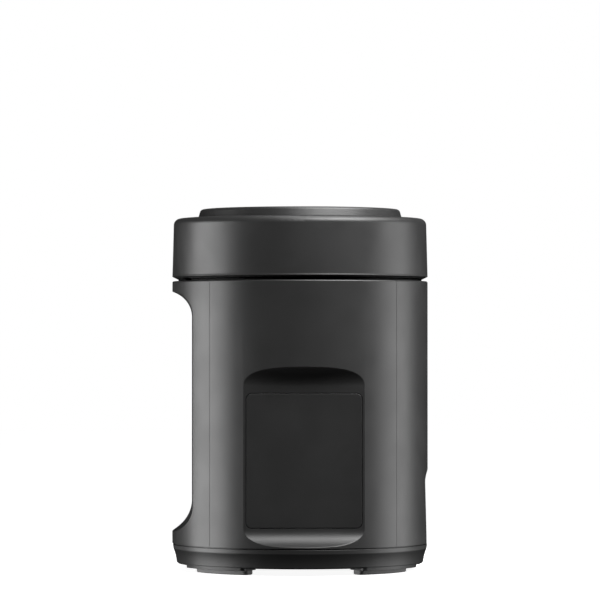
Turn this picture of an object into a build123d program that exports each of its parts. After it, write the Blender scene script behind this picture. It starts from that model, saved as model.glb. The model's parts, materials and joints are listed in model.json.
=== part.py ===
from build123d import *
from math import acos, atan2, cos, degrees, hypot, pi, radians, sin, sqrt
import os

# Countertop kitchen-waste compactor: a round body with a lid hinged at the rear, a lift-out bucket in a
# heated well, a motor and gear train that turns a crushing paddle, two side filter drawers and a rear fan.
# Frame: millimetres, the floor at z = 0, +Z up, the front at +X and the lid hinge at the rear, along Y.
# Left is the -Y side and right is the +Y side.

# Outer form
body_radius = 127.5
shell_wall = 3.0
pad_height = 4.5
foot_boss_height = 2.5
base_height = 20.0
body_height = 260.5
lid_gap = 4.5
lid_height = 58.0
disc_height = 9.3

# Fits
running_clearance = 0.05
seat_clearance = 0.3
hairline_gap = 0.4
swing_clearance = 1.0

# Base pan and feet
base_foot_inset = 4.5
base_foot_chamfer = 1.2
base_crease_inset = 1.3
base_cove_depth = 0.5
base_band_height = 5.8
base_rim_inset = 0.5
base_rim_round = 0.4
base_seam_height = 1.2
base_seam_depth = 1.4
base_wall = 3.0
base_floor = 3.0
corner_inset = 22.5
corner_angle = 45.0
foot_angle = 41.0
foot_boss_width = 22.0
foot_boss_half_angle = 20.5
foot_boss_draft = 0.6
foot_boss_inset = 0.3
foot_pad_width = 15.0
foot_pad_half_angle = 19.5
foot_corner = 4.0
base_post_radius = 6.5
base_post_height = 20.0
base_vent_length = 34.0
base_vent_width = 4.0
base_vent_pitch = 9.0
base_vent_count = 6
board_hole_length = 90.0
board_hole_width = 70.0
board_post_radius = 3.0
board_post_height = 6.0
board_part_height = 20.0

# Screws
screw_radius = 1.9
screw_head_radius = 3.6
screw_head_height = 2.4
screw_length = 18.0
screw_recess = 3.0
screw_tip_gap = 2.0
screw_socket = 1.7
screw_socket_depth = 1.4

# Flats with coved ends on the two sides and at the rear
side_flat_depth = 14.4
side_flat_rise = 18.4
side_flat_height = 139.8
side_cove_low = 17.1
side_cove_high = 17.6
rear_flat_depth = 20.0
rear_flat_rise = 40.0
rear_flat_drop = 35.2
rear_cove_low = 30.0
rear_cove_high = 25.5
flat_edge_round = 0.8
rim_round = 1.5

# Shallow dish low on the front
front_dish_depth = 4.4
front_dish_foot_depth = 2.3
front_dish_height = 61.0
front_dish_cove = 21.0

# Posts inside the body shell
post_radius = 5.0
post_rib = 3.0

# Filter drawers behind the side covers
cover_width = 112.6
cover_height = 130.8
cover_rise = 0.9
cover_corner = 6.0
cover_proud = 0.4
cover_edge_round = 0.7
filter_frame_width = 104.0
filter_frame_height = 122.0
filter_frame_depth = 20.0
filter_frame_wall = 2.0
filter_slot_length = 13.0
filter_slot_width = 5.0
filter_slot_pitch = 9.0
filter_slot_count = 10
bay_wall = 1.6
bay_flange_lap = 3.0
bay_flange_side_lap = 1.2
bay_gap = 0.8

# Top deck, hinge trough and lid
deck_drop = 4.5
deck_thickness = 3.0
mouth_radius = 69.5
collar_wall = 2.5
collar_depth = 17.0
land_height = 2.0
hinge_setback = 33.9
hinge_height = 34.6
trough_radius = 47.5
trough_half_width = 56.0
trough_wall = 2.5
trough_front_gap = 1.3
lid_wall = 3.0
lid_draft = 1.5
lid_edge_round = 6.5
lid_skirt_slope = 1.5
liner_wall = 2.5
liner_inset = 6.1
liner_drop = 3.0
liner_skirt = 1.4
liner_upstand = 7.0
liner_clear_half_width = 66.0
dome_radius = 68.5
dome_height = 44.0
dome_back = 12.0
gasket_width = 3.4
bracket_middle = 47.5
bracket_width = 11.0
bracket_root_gap = 2.8
bracket_root_length = 8.2
bracket_foot_height = 4.0
bracket_foot_width = 13.0
hinge_boss_radius = 8.0
hinge_pin_radius = 3.0
hinge_lug_width = 6.0
hinge_washer = 0.6
hinge_washer_inset = 1.0
disc_radius = 101.9
disc_draft = 2.6
disc_edge_round = 3.5
disc_wall = 3.0
disc_opening_radius = 88.0
disc_spigot_depth = 6.0
button_radius = 17.0
button_offset = 52.0
button_travel = 1.2
button_cap = 5.0
lens_radius = 2.2
lens_pitch_radius = 80.0
lens_spread = 11.0
control_board_length = 62.0
control_board_width = 80.0
board_thickness = 1.6
board_setback = 11.0
board_lift = 4.0
switch_size = 8.0
switch_height = 3.4
sensor_offset = 108.0
magnet_radius = 5.0
magnet_height = 3.0
lid_screw_angles = (30, 120, 240, 330)

# Bucket, well and drive levels
chassis_height = 71.0
chassis_thickness = 3.0
chassis_front_gap = 12.5
chassis_rear_gap = 9.5
chassis_half_width = 72.0
column_radius = 5.0
column_wall_gap = 8.5
column_rear_gap = 19.5
column_spread = 60.0
insulator_height = 4.0
insulator_width = 10.0
well_radius = 69.0
well_wall = 1.5
well_flange = 5.0
well_hole_radius = 20.0
well_vent_radius = 3.0
well_vent_drop = 20.0
stud_length = 12.0
stud_width = 7.0
stud_height = 5.0
thermostat_radius = 7.0
heater_rise = 7.0
heater_height = 44.0
heater_thickness = 2.6
bucket_radius = 63.0
bucket_taper = 3.0
bucket_wall = 2.0
bucket_floor = 3.0
bucket_skirt = 11.5
bucket_top_drop = 27.0
bucket_rim_gap = 1.0
bucket_rim_height = 3.0
bucket_boss_radius = 14.0
bucket_boss_height = 9.0
bush_wall = 3.0
bucket_ear_width = 12.0
bucket_ear_thickness = 2.2
bail_bar_radius = 3.0
bail_rise = 6.0
bail_grip_radius = 4.0
bail_grip_half_angle = 24.0
bail_pin_radius = 2.0
bail_stop = 3.0
peg_radius = 4.0
peg_length = 36.0

# Paddle
shaft_radius = 6.0
paddle_hub_radius = 18.0
paddle_hub_height = 42.0
paddle_arm_height = 8.0
paddle_arm_width = 13.0
paddle_tip_gap = 4.0
paddle_tip_setback = 3.0
paddle_hollow = 1.0
paddle_low_lift = 2.5
paddle_arm_step = 25.0
coupling_radius = 17.0
coupling_lobes = 6
dog_radius = 12.0
dog_height = 6.0

# Gear train
pinion_teeth = 14
wheel_teeth = 42
first_module = 1.5
second_module = 2.0
pressure_angle = 20.0
tooth_addendum = 0.9
tooth_dedendum = 1.2
tooth_backlash = 0.3
first_face = 8.0
second_face = 12.0
gear_level_gap = 4.0
case_wall = 3.0
case_gap = 2.2
ear_offset = 4.4
motor_offset = 82.0
motor_radius = 25.0
motor_length = 45.0
motor_nose_radius = 26.0
motor_screw_pitch = 17.0
motor_bore_depth = 30.0
motor_shaft_radius = 3.0
idler_pin_radius = 4.0

# Rear fan, grille and power inlet
grille_size = 61.2
grille_rise = 73.0
grille_flange = 3.4
grille_flange_thickness = 1.5
grille_slot = 5.0
grille_slot_pitch = 8.0
grille_slot_count = 6
grille_corner = 4.0
fan_size = 60.0
fan_depth = 15.0
fan_bore_radius = 27.5
fan_hub_radius = 11.5
fan_blades = 7
fan_tip_gap = 1.2
fan_back = 3.0
fan_pin_radius = 1.5
fan_blade_angle = 35.0
fan_blade_root = 1.0
inlet_rise = 19.0
inlet_width = 27.5
inlet_height = 20.0
inlet_flange = 2.0
inlet_depth = 23.0
inlet_socket_width = 24.4
inlet_socket_height = 16.6
inlet_socket_depth = 16.0

# Levels
z_boss = pad_height
z_base = z_boss + foot_boss_height
z_base_wall = z_base + base_foot_chamfer
z_floor = z_base + base_floor
z_post = z_floor + base_post_height
z_body = z_base + base_height
z_crease = z_body - base_band_height
z_body_top = z_body + body_height
z_lid = z_body_top + lid_gap
z_lid_top = z_lid + lid_height
z_disc_top = z_lid_top + disc_height
z_deck = z_body_top - deck_drop
z_deck_under = z_deck - deck_thickness
z_land = z_deck + land_height
z_collar = z_land - collar_depth
z_chassis = z_body + chassis_height
z_chassis_top = z_chassis + chassis_thickness
z_well = z_chassis_top + insulator_height
z_well_floor = z_well + well_wall
z_bucket_under = z_well_floor + bucket_skirt
z_bucket_floor = z_bucket_under + bucket_floor
z_bucket_top = z_land - bucket_top_drop
z_bail = z_bucket_top + bail_rise
z_liner = z_lid - liner_drop
z_board = z_liner + liner_wall + dome_height + board_lift
z_second = z_chassis - gear_level_gap - second_face
z_first = z_second - gear_level_gap - first_face
z_case_floor = z_first - case_gap
z_case = z_case_floor - case_wall
z_motor = z_case - motor_length

# Places that follow from the sizes
inner_radius = body_radius - shell_wall
base_foot_radius = body_radius - base_foot_inset
base_crease_radius = body_radius - base_crease_inset
corner_radius = body_radius - corner_inset
side_flat_y = body_radius - side_flat_depth
side_flat_low = z_body + side_flat_rise
side_flat_high = side_flat_low + side_flat_height
cover_middle = side_flat_low + cover_rise + cover_height / 2
rear_flat_x = body_radius - rear_flat_depth
rear_flat_low = z_body + rear_flat_rise
rear_flat_high = z_body_top - rear_flat_drop
z_grille = rear_flat_low + grille_rise
z_inlet = rear_flat_low + inlet_rise
hinge_x = hinge_setback - body_radius
hinge_z = z_body_top + hinge_height
collar_radius = mouth_radius + collar_wall
trough_front = -collar_radius - trough_front_gap
bracket_near = bracket_middle - bracket_width / 2
bracket_far = bracket_middle + bracket_width / 2
root_front = -sqrt(collar_radius**2 - bracket_near**2) - bracket_root_gap
root_rear = root_front - bracket_root_length
root_middle = (root_front + root_rear) / 2
first_centres = first_module * (pinion_teeth + wheel_teeth) / 2
second_centres = second_module * (pinion_teeth + wheel_teeth) / 2
idler_x = (second_centres**2 - first_centres**2 + motor_offset**2) / (2 * motor_offset)
idler_y = sqrt(second_centres**2 - idler_x**2)
idler_angle = degrees(atan2(idler_y, idler_x))
motor_angle = degrees(atan2(-idler_y, motor_offset - idler_x))
bush_radius = shaft_radius + bush_wall
bucket_outer = bucket_radius + bucket_wall
bucket_low = bucket_outer - bucket_taper
bucket_low_inside = bucket_low - bucket_wall
rim_radius = well_radius - bucket_rim_gap
chassis_front = inner_radius - chassis_front_gap
chassis_rear = rear_flat_x - shell_wall - chassis_rear_gap
column_front = sqrt((inner_radius - column_radius - column_wall_gap) ** 2 - column_spread**2)
column_rear = rear_flat_x - shell_wall - column_radius - column_rear_gap
corner_angles = [corner_angle + 90 * quarter for quarter in range(4)]
foot_angles = [half_turn + side * foot_angle for half_turn in (0, 180) for side in (-1, 1)]


def polar(radius, angle):
    """Point on a circle about the vertical axis, the angle in degrees from the front."""
    return (radius * cos(radians(angle)), radius * sin(radians(angle)))


corner_places = [polar(corner_radius, angle) for angle in corner_angles]
column_places = [(x, y) for x in (column_front, -column_rear) for y in (column_spread, -column_spread)]

# Planes: x outwards and z up for the flats, y across and z up for the rear face
right_plane = Plane.YZ
left_plane = Plane(origin=(0, 0, 0), x_dir=(0, -1, 0), z_dir=(-1, 0, 0))
rear_plane = Plane(origin=(0, 0, 0), x_dir=(-1, 0, 0), z_dir=(0, 1, 0))
front_plane = Plane.XZ


def flat_profile(distance, low, high, cove_low, cove_high):
    """Space in front of a flat with coved ends, drawn with x outwards and y up."""
    reach = 2 * body_radius
    with BuildSketch() as profile:
        with BuildLine():
            Line((distance, low), (distance, high))
            CenterArc((distance + cove_high, high), cove_high, 90, 90)
            Polyline(
                (distance + cove_high, high + cove_high),
                (reach, high + cove_high),
                (reach, low - cove_low),
                (distance + cove_low, low - cove_low),
            )
            CenterArc((distance + cove_low, low), cove_low, 180, 90)
        make_face()
    return profile.sketch


def dish_profile(inset):
    """Space in front of the shallow front dish, drawn with x outwards and y up."""
    reach = 2 * body_radius
    high = z_body + front_dish_height
    deep = body_radius - front_dish_depth - inset
    radius = front_dish_cove + inset
    with BuildSketch() as profile:
        with BuildLine():
            cove = CenterArc((deep + radius, high), radius, 130, 50)
            Polyline(
                cove @ 0,
                (reach, (cove @ 0).Y),
                (reach, z_body),
                (body_radius - front_dish_foot_depth - inset, z_body),
                cove @ 1,
            )
        make_face()
    return profile.sketch


def body_form(inset):
    """Outer form of the body, or with an inset the hollow inside its wall."""
    with BuildPart() as form:
        with BuildSketch(Plane.XY.offset(z_body)):
            Circle(body_radius - inset)
        extrude(amount=body_height)
        side = flat_profile(
            side_flat_y - inset, side_flat_low, side_flat_high, side_cove_low + inset, side_cove_high + inset
        )
        with BuildSketch(left_plane, right_plane):
            add(side)
        extrude(amount=body_radius, both=True, mode=Mode.SUBTRACT)
        rear = flat_profile(
            rear_flat_x - inset, rear_flat_low, rear_flat_high, rear_cove_low + inset, rear_cove_high + inset
        )
        with BuildSketch(rear_plane):
            add(rear)
        extrude(amount=body_radius, both=True, mode=Mode.SUBTRACT)
        with BuildSketch(front_plane):
            add(dish_profile(inset))
        extrude(amount=body_radius / 2, both=True, mode=Mode.SUBTRACT)
    return form.part


def ring_sector(middle_radius, width, middle_angle, half_angle):
    """Piece of a flat ring with rounded corners."""
    with BuildSketch() as sector:
        with BuildLine():
            outer = CenterArc((0, 0), middle_radius + width / 2, middle_angle - half_angle, 2 * half_angle)
            inner = CenterArc((0, 0), middle_radius - width / 2, middle_angle - half_angle, 2 * half_angle)
            Line(outer @ 0, inner @ 0)
            Line(outer @ 1, inner @ 1)
        make_face()
        fillet(sector.vertices(), foot_corner)
    return sector.sketch


def screw_set(places, seat, length, direction):
    """Pan-head screws with hexagon sockets; direction 1 drives them up from the seat and -1 down."""
    with BuildPart() as screws:
        with BuildSketch(Plane.XY.offset(seat)):
            with Locations(*places):
                Circle(screw_head_radius)
        extrude(amount=-direction * screw_head_height)
        with BuildSketch(Plane.XY.offset(seat)):
            with Locations(*places):
                Circle(screw_radius)
        extrude(amount=direction * length)
        with BuildSketch(Plane.XY.offset(seat - direction * screw_head_height)):
            with Locations(*places):
                RegularPolygon(screw_socket, 6)
        extrude(amount=direction * screw_socket_depth, mode=Mode.SUBTRACT)
    return screws.part


def gear_outline(module, teeth, phase):
    """Spur gear outline with involute flanks and a tooth centred on the angle phase, in degrees."""
    pitch = module * teeth / 2
    base = pitch * cos(radians(pressure_angle))
    tip = pitch + tooth_addendum * module
    root = pitch - tooth_dedendum * module
    start = max(base, root)

    def involute(radius):
        return sqrt((radius / base) ** 2 - 1) - acos(base / radius) if radius > base else 0.0

    half_tooth = pi / (2 * teeth) - tooth_backlash / (4 * pitch) + involute(pitch)

    def flank(radius, side, number):
        turn = radians(phase) + 2 * pi * number / teeth + side * (half_tooth - involute(max(radius, base)))
        return (radius * cos(turn), radius * sin(turn))

    middle = (start + tip) / 2
    with BuildSketch() as outline:
        with BuildLine():
            for number in range(teeth):
                if base > root:
                    Line(flank(root, -1, number), flank(start, -1, number))
                    Line(flank(start, 1, number), flank(root, 1, number))
                ThreePointArc(flank(start, -1, number), flank(middle, -1, number), flank(tip, -1, number))
                Line(flank(tip, -1, number), flank(tip, 1, number))
                ThreePointArc(flank(tip, 1, number), flank(middle, 1, number), flank(start, 1, number))
                Line(flank(root, 1, number), flank(root, -1, number + 1))
        make_face()
    return outline.sketch


def case_outline(inset):
    """Outline around the three gear axes, less an inset."""
    output_radius = second_module * (wheel_teeth / 2 + tooth_addendum) + case_gap + case_wall - inset
    idler_radius = first_module * (wheel_teeth / 2 + tooth_addendum) + case_gap + case_wall - inset
    with BuildSketch() as outline:
        Circle(output_radius)
        with Locations((idler_x, idler_y)):
            Circle(idler_radius)
        with Locations((motor_offset, 0)):
            Circle(motor_nose_radius - inset)
        make_hull()
    return outline.sketch


# Base: pan, feet and the screws that hold the body shell from below
with BuildPart() as foot_boss:
    boss_inner = corner_radius - foot_boss_width / 2
    boss_outer = base_foot_radius - foot_boss_inset
    with BuildSketch(Plane.XZ):
        with BuildLine():
            Polyline(
                (boss_inner, z_boss),
                (boss_outer - foot_boss_draft, z_boss),
                (boss_outer, z_base_wall),
                (boss_inner, z_base_wall),
                close=True,
            )
        make_face()
    half_boss = revolve(axis=Axis.Z, revolution_arc=foot_boss_half_angle)
    mirror(half_boss, about=Plane.XZ)
    upright_edges = [
        edge for edge in foot_boss.edges() if abs((edge @ 1).Z - (edge @ 0).Z) > foot_boss_height
    ]
    fillet(upright_edges, foot_corner)

with BuildPart() as base_pan:
    rim = body_radius - base_rim_inset
    seam = z_body - base_seam_height
    with BuildSketch(Plane.XZ) as base_profile:
        with BuildLine():
            under = Polyline(
                (0, z_base),
                (base_foot_radius - base_foot_chamfer, z_base),
                (base_foot_radius, z_base_wall),
            )
            cove_middle = (
                (base_foot_radius + base_crease_radius) / 2 - base_cove_depth,
                (z_base_wall + z_crease) / 2,
            )
            cove = ThreePointArc(under @ 1, cove_middle, (base_crease_radius, z_crease))
            Polyline(
                cove @ 1,
                (rim, seam),
                (rim - base_seam_depth, seam),
                (rim - base_seam_depth, z_body),
                (rim - base_wall, z_body),
                (base_crease_radius - base_wall, z_crease),
                (base_foot_radius - base_wall, z_floor),
                (0, z_floor),
                (0, z_base),
            )
        make_face()
        fillet(base_profile.vertices().sort_by_distance((rim, seam))[0], base_rim_round)
    revolve(axis=Axis.Z)
    for angle in foot_angles:
        add(foot_boss.part, rotation=(0, 0, angle))
    with BuildSketch(Plane.XY.offset(z_floor)):
        with Locations(*corner_places):
            Circle(base_post_radius)
    extrude(amount=base_post_height)
    with BuildSketch(Plane.XY.offset(z_floor)):
        with GridLocations(board_hole_length, board_hole_width, 2, 2):
            Circle(board_post_radius)
    extrude(amount=board_post_height)
    with BuildSketch(Plane.XY.offset(z_boss)):
        with Locations(*corner_places):
            Circle(screw_head_radius + hairline_gap)
    extrude(amount=screw_recess, mode=Mode.SUBTRACT)
    with BuildSketch(Plane.XY.offset(z_boss)):
        with Locations(*corner_places):
            Circle(screw_radius + running_clearance)
    extrude(amount=z_post - z_boss, mode=Mode.SUBTRACT)
    with BuildSketch(Plane.XY.offset(z_base)):
        with GridLocations(base_vent_pitch, 0, base_vent_count, 1):
            SlotOverall(base_vent_length, base_vent_width, rotation=90)
    extrude(amount=base_floor, mode=Mode.SUBTRACT)

with BuildPart() as foot_pads:
    with BuildSketch():
        for angle in foot_angles:
            add(ring_sector(corner_radius, foot_pad_width, angle, foot_pad_half_angle))
    extrude(amount=pad_height)
    chamfer(foot_pads.faces().filter_by(Axis.Z).group_by(Axis.Z)[0].edges(), pad_height / 5)

base_screw_seat = z_boss + screw_recess
with BuildPart() as base_screws:
    add(screw_set(corner_places, base_screw_seat, z_post - base_screw_seat + screw_length - screw_tip_gap, 1))

# Body shell with its flats, openings and inner posts
with BuildPart() as body_shell:
    add(body_form(0))
    edges_of_cuts = [
        edge
        for edge in body_shell.edges()
        if z_body + rim_round < edge.center().Z < z_body_top - rim_round
        and abs(hypot((edge @ 0.5).X, (edge @ 0.5).Y) - body_radius) < running_clearance
        and abs((edge @ 0.5).Y) > running_clearance
    ]
    fillet(edges_of_cuts, flat_edge_round)
    fillet(body_shell.faces().sort_by(Axis.Z)[-1].edges(), rim_round)
    add(body_form(shell_wall), mode=Mode.SUBTRACT)
    rib_length = inner_radius + shell_wall / 2 - corner_radius
    with BuildSketch(Plane.XY.offset(z_post)):
        with Locations(*corner_places):
            Circle(post_radius)
        with PolarLocations(corner_radius + rib_length / 2, 4, corner_angle):
            Rectangle(rib_length, post_rib)
    extrude(amount=z_deck_under - z_post)
    with BuildSketch(Plane.XY.offset(z_post), Plane.XY.offset(z_deck_under - screw_length)):
        with Locations(*corner_places):
            Circle(screw_radius + running_clearance)
    extrude(amount=screw_length, mode=Mode.SUBTRACT)
    with BuildSketch(Plane.XZ):
        with Locations((0, cover_middle)):
            RectangleRounded(cover_width + 2 * hairline_gap, cover_height + 2 * hairline_gap, cover_corner)
    extrude(amount=body_radius, both=True, mode=Mode.SUBTRACT)
    with BuildSketch(Plane.YZ.offset(-body_radius)):
        with Locations((0, z_grille)):
            RectangleRounded(grille_size + 2 * hairline_gap, grille_size + 2 * hairline_gap, grille_corner)
        with Locations((0, z_inlet)):
            Rectangle(inlet_width + 2 * seat_clearance, inlet_height + 2 * seat_clearance)
    extrude(amount=body_radius / 2, mode=Mode.SUBTRACT)

# Filter drawers: bay, cover, frame and carbon pad on the left, mirrored on the right
drawer_face = side_flat_y - shell_wall
with BuildPart() as left_filter_cover:
    with BuildSketch(Plane.XZ.offset(drawer_face)):
        with Locations((0, cover_middle)):
            RectangleRounded(cover_width, cover_height, cover_corner - hairline_gap)
    extrude(amount=shell_wall + cover_proud)
    fillet(left_filter_cover.faces().sort_by(Axis.Y)[0].edges(), cover_edge_round)

with BuildPart() as left_filter_frame:
    with BuildSketch(Plane.XZ.offset(drawer_face - filter_frame_depth)):
        with Locations((0, cover_middle)):
            RectangleRounded(filter_frame_width, filter_frame_height, filter_frame_wall)
    extrude(amount=filter_frame_depth)
    with BuildSketch(Plane.XZ.offset(drawer_face)):
        with Locations((0, cover_middle)):
            Rectangle(filter_frame_width - 2 * filter_frame_wall, filter_frame_height - 2 * filter_frame_wall)
    extrude(amount=filter_frame_wall - filter_frame_depth, mode=Mode.SUBTRACT)
    with BuildSketch(Plane.XY.offset(cover_middle)):
        with Locations((0, -drawer_face + filter_frame_depth / 2)):
            with GridLocations(filter_slot_pitch, 0, filter_slot_count, 1):
                SlotOverall(filter_slot_length, filter_slot_width, rotation=90)
    extrude(amount=filter_frame_height, both=True, mode=Mode.SUBTRACT)

with BuildPart() as left_carbon_pad:
    slack = 2 * (filter_frame_wall + seat_clearance)
    with BuildSketch(Plane.XZ.offset(drawer_face - filter_frame_depth + filter_frame_wall)):
        with Locations((0, cover_middle)):
            Rectangle(filter_frame_width - slack, filter_frame_height - slack)
    extrude(amount=filter_frame_depth - filter_frame_wall - seat_clearance)

with BuildPart() as left_filter_bay:
    inside_width = filter_frame_width + 2 * bay_gap
    inside_height = filter_frame_height + 2 * bay_gap
    bay_depth = filter_frame_depth + bay_gap + bay_wall
    with BuildSketch(Plane.XZ.offset(drawer_face - bay_depth)):
        with Locations((0, cover_middle)):
            Rectangle(inside_width + 2 * bay_wall, inside_height + 2 * bay_wall)
    extrude(amount=bay_depth)
    with BuildSketch(Plane.XZ.offset(drawer_face)):
        with Locations((0, cover_middle)):
            Rectangle(
                cover_width + 2 * (hairline_gap + bay_flange_side_lap),
                cover_height + 2 * (hairline_gap + bay_flange_lap),
            )
    extrude(amount=-bay_wall)
    with BuildSketch(Plane.XZ.offset(drawer_face)):
        with Locations((0, cover_middle)):
            Rectangle(inside_width, inside_height)
    extrude(amount=bay_wall - bay_depth, mode=Mode.SUBTRACT)
    with BuildSketch(Plane.XY.offset(cover_middle)):
        with Locations((0, -drawer_face + filter_frame_depth / 2)):
            with GridLocations(filter_slot_pitch, 0, filter_slot_count, 1):
                SlotOverall(filter_slot_length, filter_slot_width, rotation=90)
    extrude(amount=filter_frame_height, both=True, mode=Mode.SUBTRACT)

with BuildPart() as right_filter_cover:
    mirror(left_filter_cover.part, about=Plane.XZ)

with BuildPart() as right_filter_frame:
    mirror(left_filter_frame.part, about=Plane.XZ)

with BuildPart() as right_carbon_pad:
    mirror(left_carbon_pad.part, about=Plane.XZ)

with BuildPart() as right_filter_bay:
    mirror(left_filter_bay.part, about=Plane.XZ)

# Top deck: ring plate, collar around the bucket mouth and the trough that the lid's rear edge swings through
deck_radius = inner_radius - swing_clearance
bracket_screw_places = [(root_middle, side * (bracket_far + bracket_foot_width / 2)) for side in (-1, 1)]


def trough_form(radius, half_width, front):
    """Part of a cylinder about the hinge axis that lies below the deck's top and behind the front limit."""
    with BuildPart() as form:
        with BuildSketch(Plane.XZ):
            with Locations((hinge_x, hinge_z)):
                Circle(radius)
            with Locations((front, z_deck)):
                Rectangle(body_radius, 2 * radius, align=(Align.MAX, Align.MAX), mode=Mode.INTERSECT)
        extrude(amount=half_width, both=True)
    return form.part


with BuildPart() as top_deck:
    add(trough_form(trough_radius + trough_wall, trough_half_width + trough_wall, trough_front))
    with BuildSketch(Plane.XY.offset(z_deck_under)):
        Circle(deck_radius)
    extrude(amount=deck_thickness)
    with BuildSketch(Plane.XY.offset(z_collar)):
        Circle(collar_radius)
    extrude(amount=z_land - z_collar)
    with BuildSketch(Plane.XY.offset(z_deck_under - screw_length / 2)):
        with Locations(*bracket_screw_places):
            Circle(post_radius)
    extrude(amount=screw_length / 2)
    with BuildSketch(Plane.XY.offset(z_collar)):
        Circle(deck_radius)
    extrude(amount=z_land - z_collar, mode=Mode.INTERSECT)
    with BuildSketch(Plane.XY.offset(z_collar)):
        Circle(mouth_radius)
    extrude(amount=z_land - z_collar, mode=Mode.SUBTRACT)
    add(trough_form(trough_radius, trough_half_width, trough_front), mode=Mode.SUBTRACT)
    with BuildSketch(Plane.XY.offset(z_collar)):
        with Locations(*corner_places, *bracket_screw_places):
            Circle(screw_radius + running_clearance)
    extrude(amount=z_land - z_collar, mode=Mode.SUBTRACT)
    fillet(top_deck.edges().filter_by(GeomType.CIRCLE).group_by(Axis.Z)[-1], land_height / 4)

with BuildPart() as deck_screws:
    add(screw_set(corner_places, z_deck, screw_length, -1))

# Hinge: brackets on the deck, pins and washers carried by the lid
bracket_screw_seat = z_deck + bracket_foot_height - screw_head_height
bracket_knee = (root_middle, (hinge_z + z_deck) / 2 - hinge_boss_radius / 3)
with BuildPart() as left_hinge_bracket:
    with BuildSketch(Plane.XZ.offset(bracket_near)):
        with Locations((hinge_x, hinge_z)):
            Circle(hinge_boss_radius)
        with Locations(bracket_knee):
            Circle(bracket_root_length / 2)
        make_hull()
        with Locations((root_middle, z_deck)):
            Rectangle(bracket_root_length, bracket_knee[1] - z_deck, align=(Align.CENTER, Align.MIN))
        with Locations((hinge_x, hinge_z)):
            Circle(hinge_pin_radius + running_clearance, mode=Mode.SUBTRACT)
    extrude(amount=bracket_width)
    with BuildSketch(Plane.XY.offset(z_deck)):
        with Locations((root_middle, -bracket_near)):
            foot_length = bracket_width + bracket_foot_width
            Rectangle(bracket_root_length, foot_length, align=(Align.CENTER, Align.MAX))
    extrude(amount=bracket_foot_height)
    with BuildSketch(Plane.XY.offset(z_deck)):
        with Locations(bracket_screw_places[0]):
            Circle(screw_radius + running_clearance)
    extrude(amount=bracket_foot_height, mode=Mode.SUBTRACT)
    with BuildSketch(Plane.XY.offset(bracket_screw_seat)):
        with Locations(bracket_screw_places[0]):
            Circle(screw_head_radius + seat_clearance)
    extrude(amount=screw_head_height, mode=Mode.SUBTRACT)

with BuildPart() as right_hinge_bracket:
    mirror(left_hinge_bracket.part, about=Plane.XZ)

with BuildPart() as bracket_screws:
    add(screw_set(bracket_screw_places, bracket_screw_seat, screw_length / 2, -1))

washer_gap = hinge_washer + seat_clearance
lug_starts = [bracket_near - washer_gap - hinge_lug_width, bracket_far + washer_gap]
pin_length = bracket_width + 2 * (washer_gap + hinge_lug_width)
with BuildPart() as hinge_pins:
    with BuildSketch(Plane.XZ.offset(lug_starts[0])):
        with Locations((hinge_x, hinge_z)):
            Circle(hinge_pin_radius)
    extrude(amount=pin_length)
    mirror(about=Plane.XZ)

with BuildPart() as hinge_washers:
    for start in (bracket_near - seat_clearance / 2 - hinge_washer, bracket_far + seat_clearance / 2):
        with BuildSketch(Plane.XZ.offset(start)):
            with Locations((hinge_x, hinge_z)):
                Circle(hinge_boss_radius - hinge_washer_inset)
                Circle(hinge_pin_radius + running_clearance, mode=Mode.SUBTRACT)
        extrude(amount=hinge_washer)
    mirror(about=Plane.XZ)

# Lid: drafted cover with hinge lugs, liner with a dome over the bucket handle, gasket and top disc
lid_shoulder_radius = body_radius - lid_draft
lid_screw_places = [polar(corner_radius, angle) for angle in lid_screw_angles]
z_lid_under = z_lid_top - lid_wall
with BuildPart() as lid_cover:
    with BuildSketch(Plane.XZ) as lid_profile:
        with BuildLine():
            Polyline(
                (disc_opening_radius, z_lid_top),
                (lid_shoulder_radius, z_lid_top),
                (body_radius, z_lid),
                (body_radius - lid_wall, z_lid - lid_skirt_slope),
                (lid_shoulder_radius - lid_wall, z_lid_under),
                (disc_opening_radius, z_lid_under),
                close=True,
            )
        make_face()
        fillet(lid_profile.vertices().sort_by_distance((lid_shoulder_radius, z_lid_top))[0], lid_edge_round)
        inner_corner = (lid_shoulder_radius - lid_wall, z_lid_under)
        fillet(lid_profile.vertices().sort_by_distance(inner_corner)[0], lid_edge_round - lid_wall)
    revolve(axis=Axis.Z)
    for start in lug_starts:
        with BuildSketch(Plane.XZ.offset(start)):
            with Locations((hinge_x, hinge_z)):
                Circle(hinge_boss_radius)
                Rectangle(
                    2 * hinge_boss_radius,
                    z_lid_under - hinge_z + lid_wall / 3,
                    align=(Align.CENTER, Align.MIN),
                )
                Circle(hinge_pin_radius + running_clearance, mode=Mode.SUBTRACT)
        lug = extrude(amount=hinge_lug_width)
        mirror(lug, about=Plane.XZ)
    with BuildSketch(Plane.XY.offset(z_liner + liner_wall)):
        with Locations(*lid_screw_places):
            Circle(post_radius)
    extrude(amount=z_lid_under - z_liner - liner_wall + lid_wall / 3)
    with BuildSketch(Plane.XY.offset(z_liner)):
        with Locations(*lid_screw_places):
            Circle(screw_radius + running_clearance)
    extrude(amount=screw_length + liner_wall, mode=Mode.SUBTRACT)

liner_radius = body_radius - liner_inset
liner_rim_radius = body_radius - lid_wall - 2 * seat_clearance
liner_rear = -collar_radius - swing_clearance - trough_front_gap
bracket_slot_width = bracket_width + 2 * swing_clearance
slope_rise = (liner_rim_radius - liner_radius) * lid_skirt_slope / lid_wall


def dome_outline(grow):
    """D-shaped outline of the dome in the liner, grown by a wall."""
    with BuildSketch() as outline:
        Circle(dome_radius + grow)
        with Locations((-dome_back - grow, 0)):
            Rectangle(
                2 * body_radius, 2 * body_radius, align=(Align.MIN, Align.CENTER), mode=Mode.INTERSECT
            )
    return outline.sketch


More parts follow.
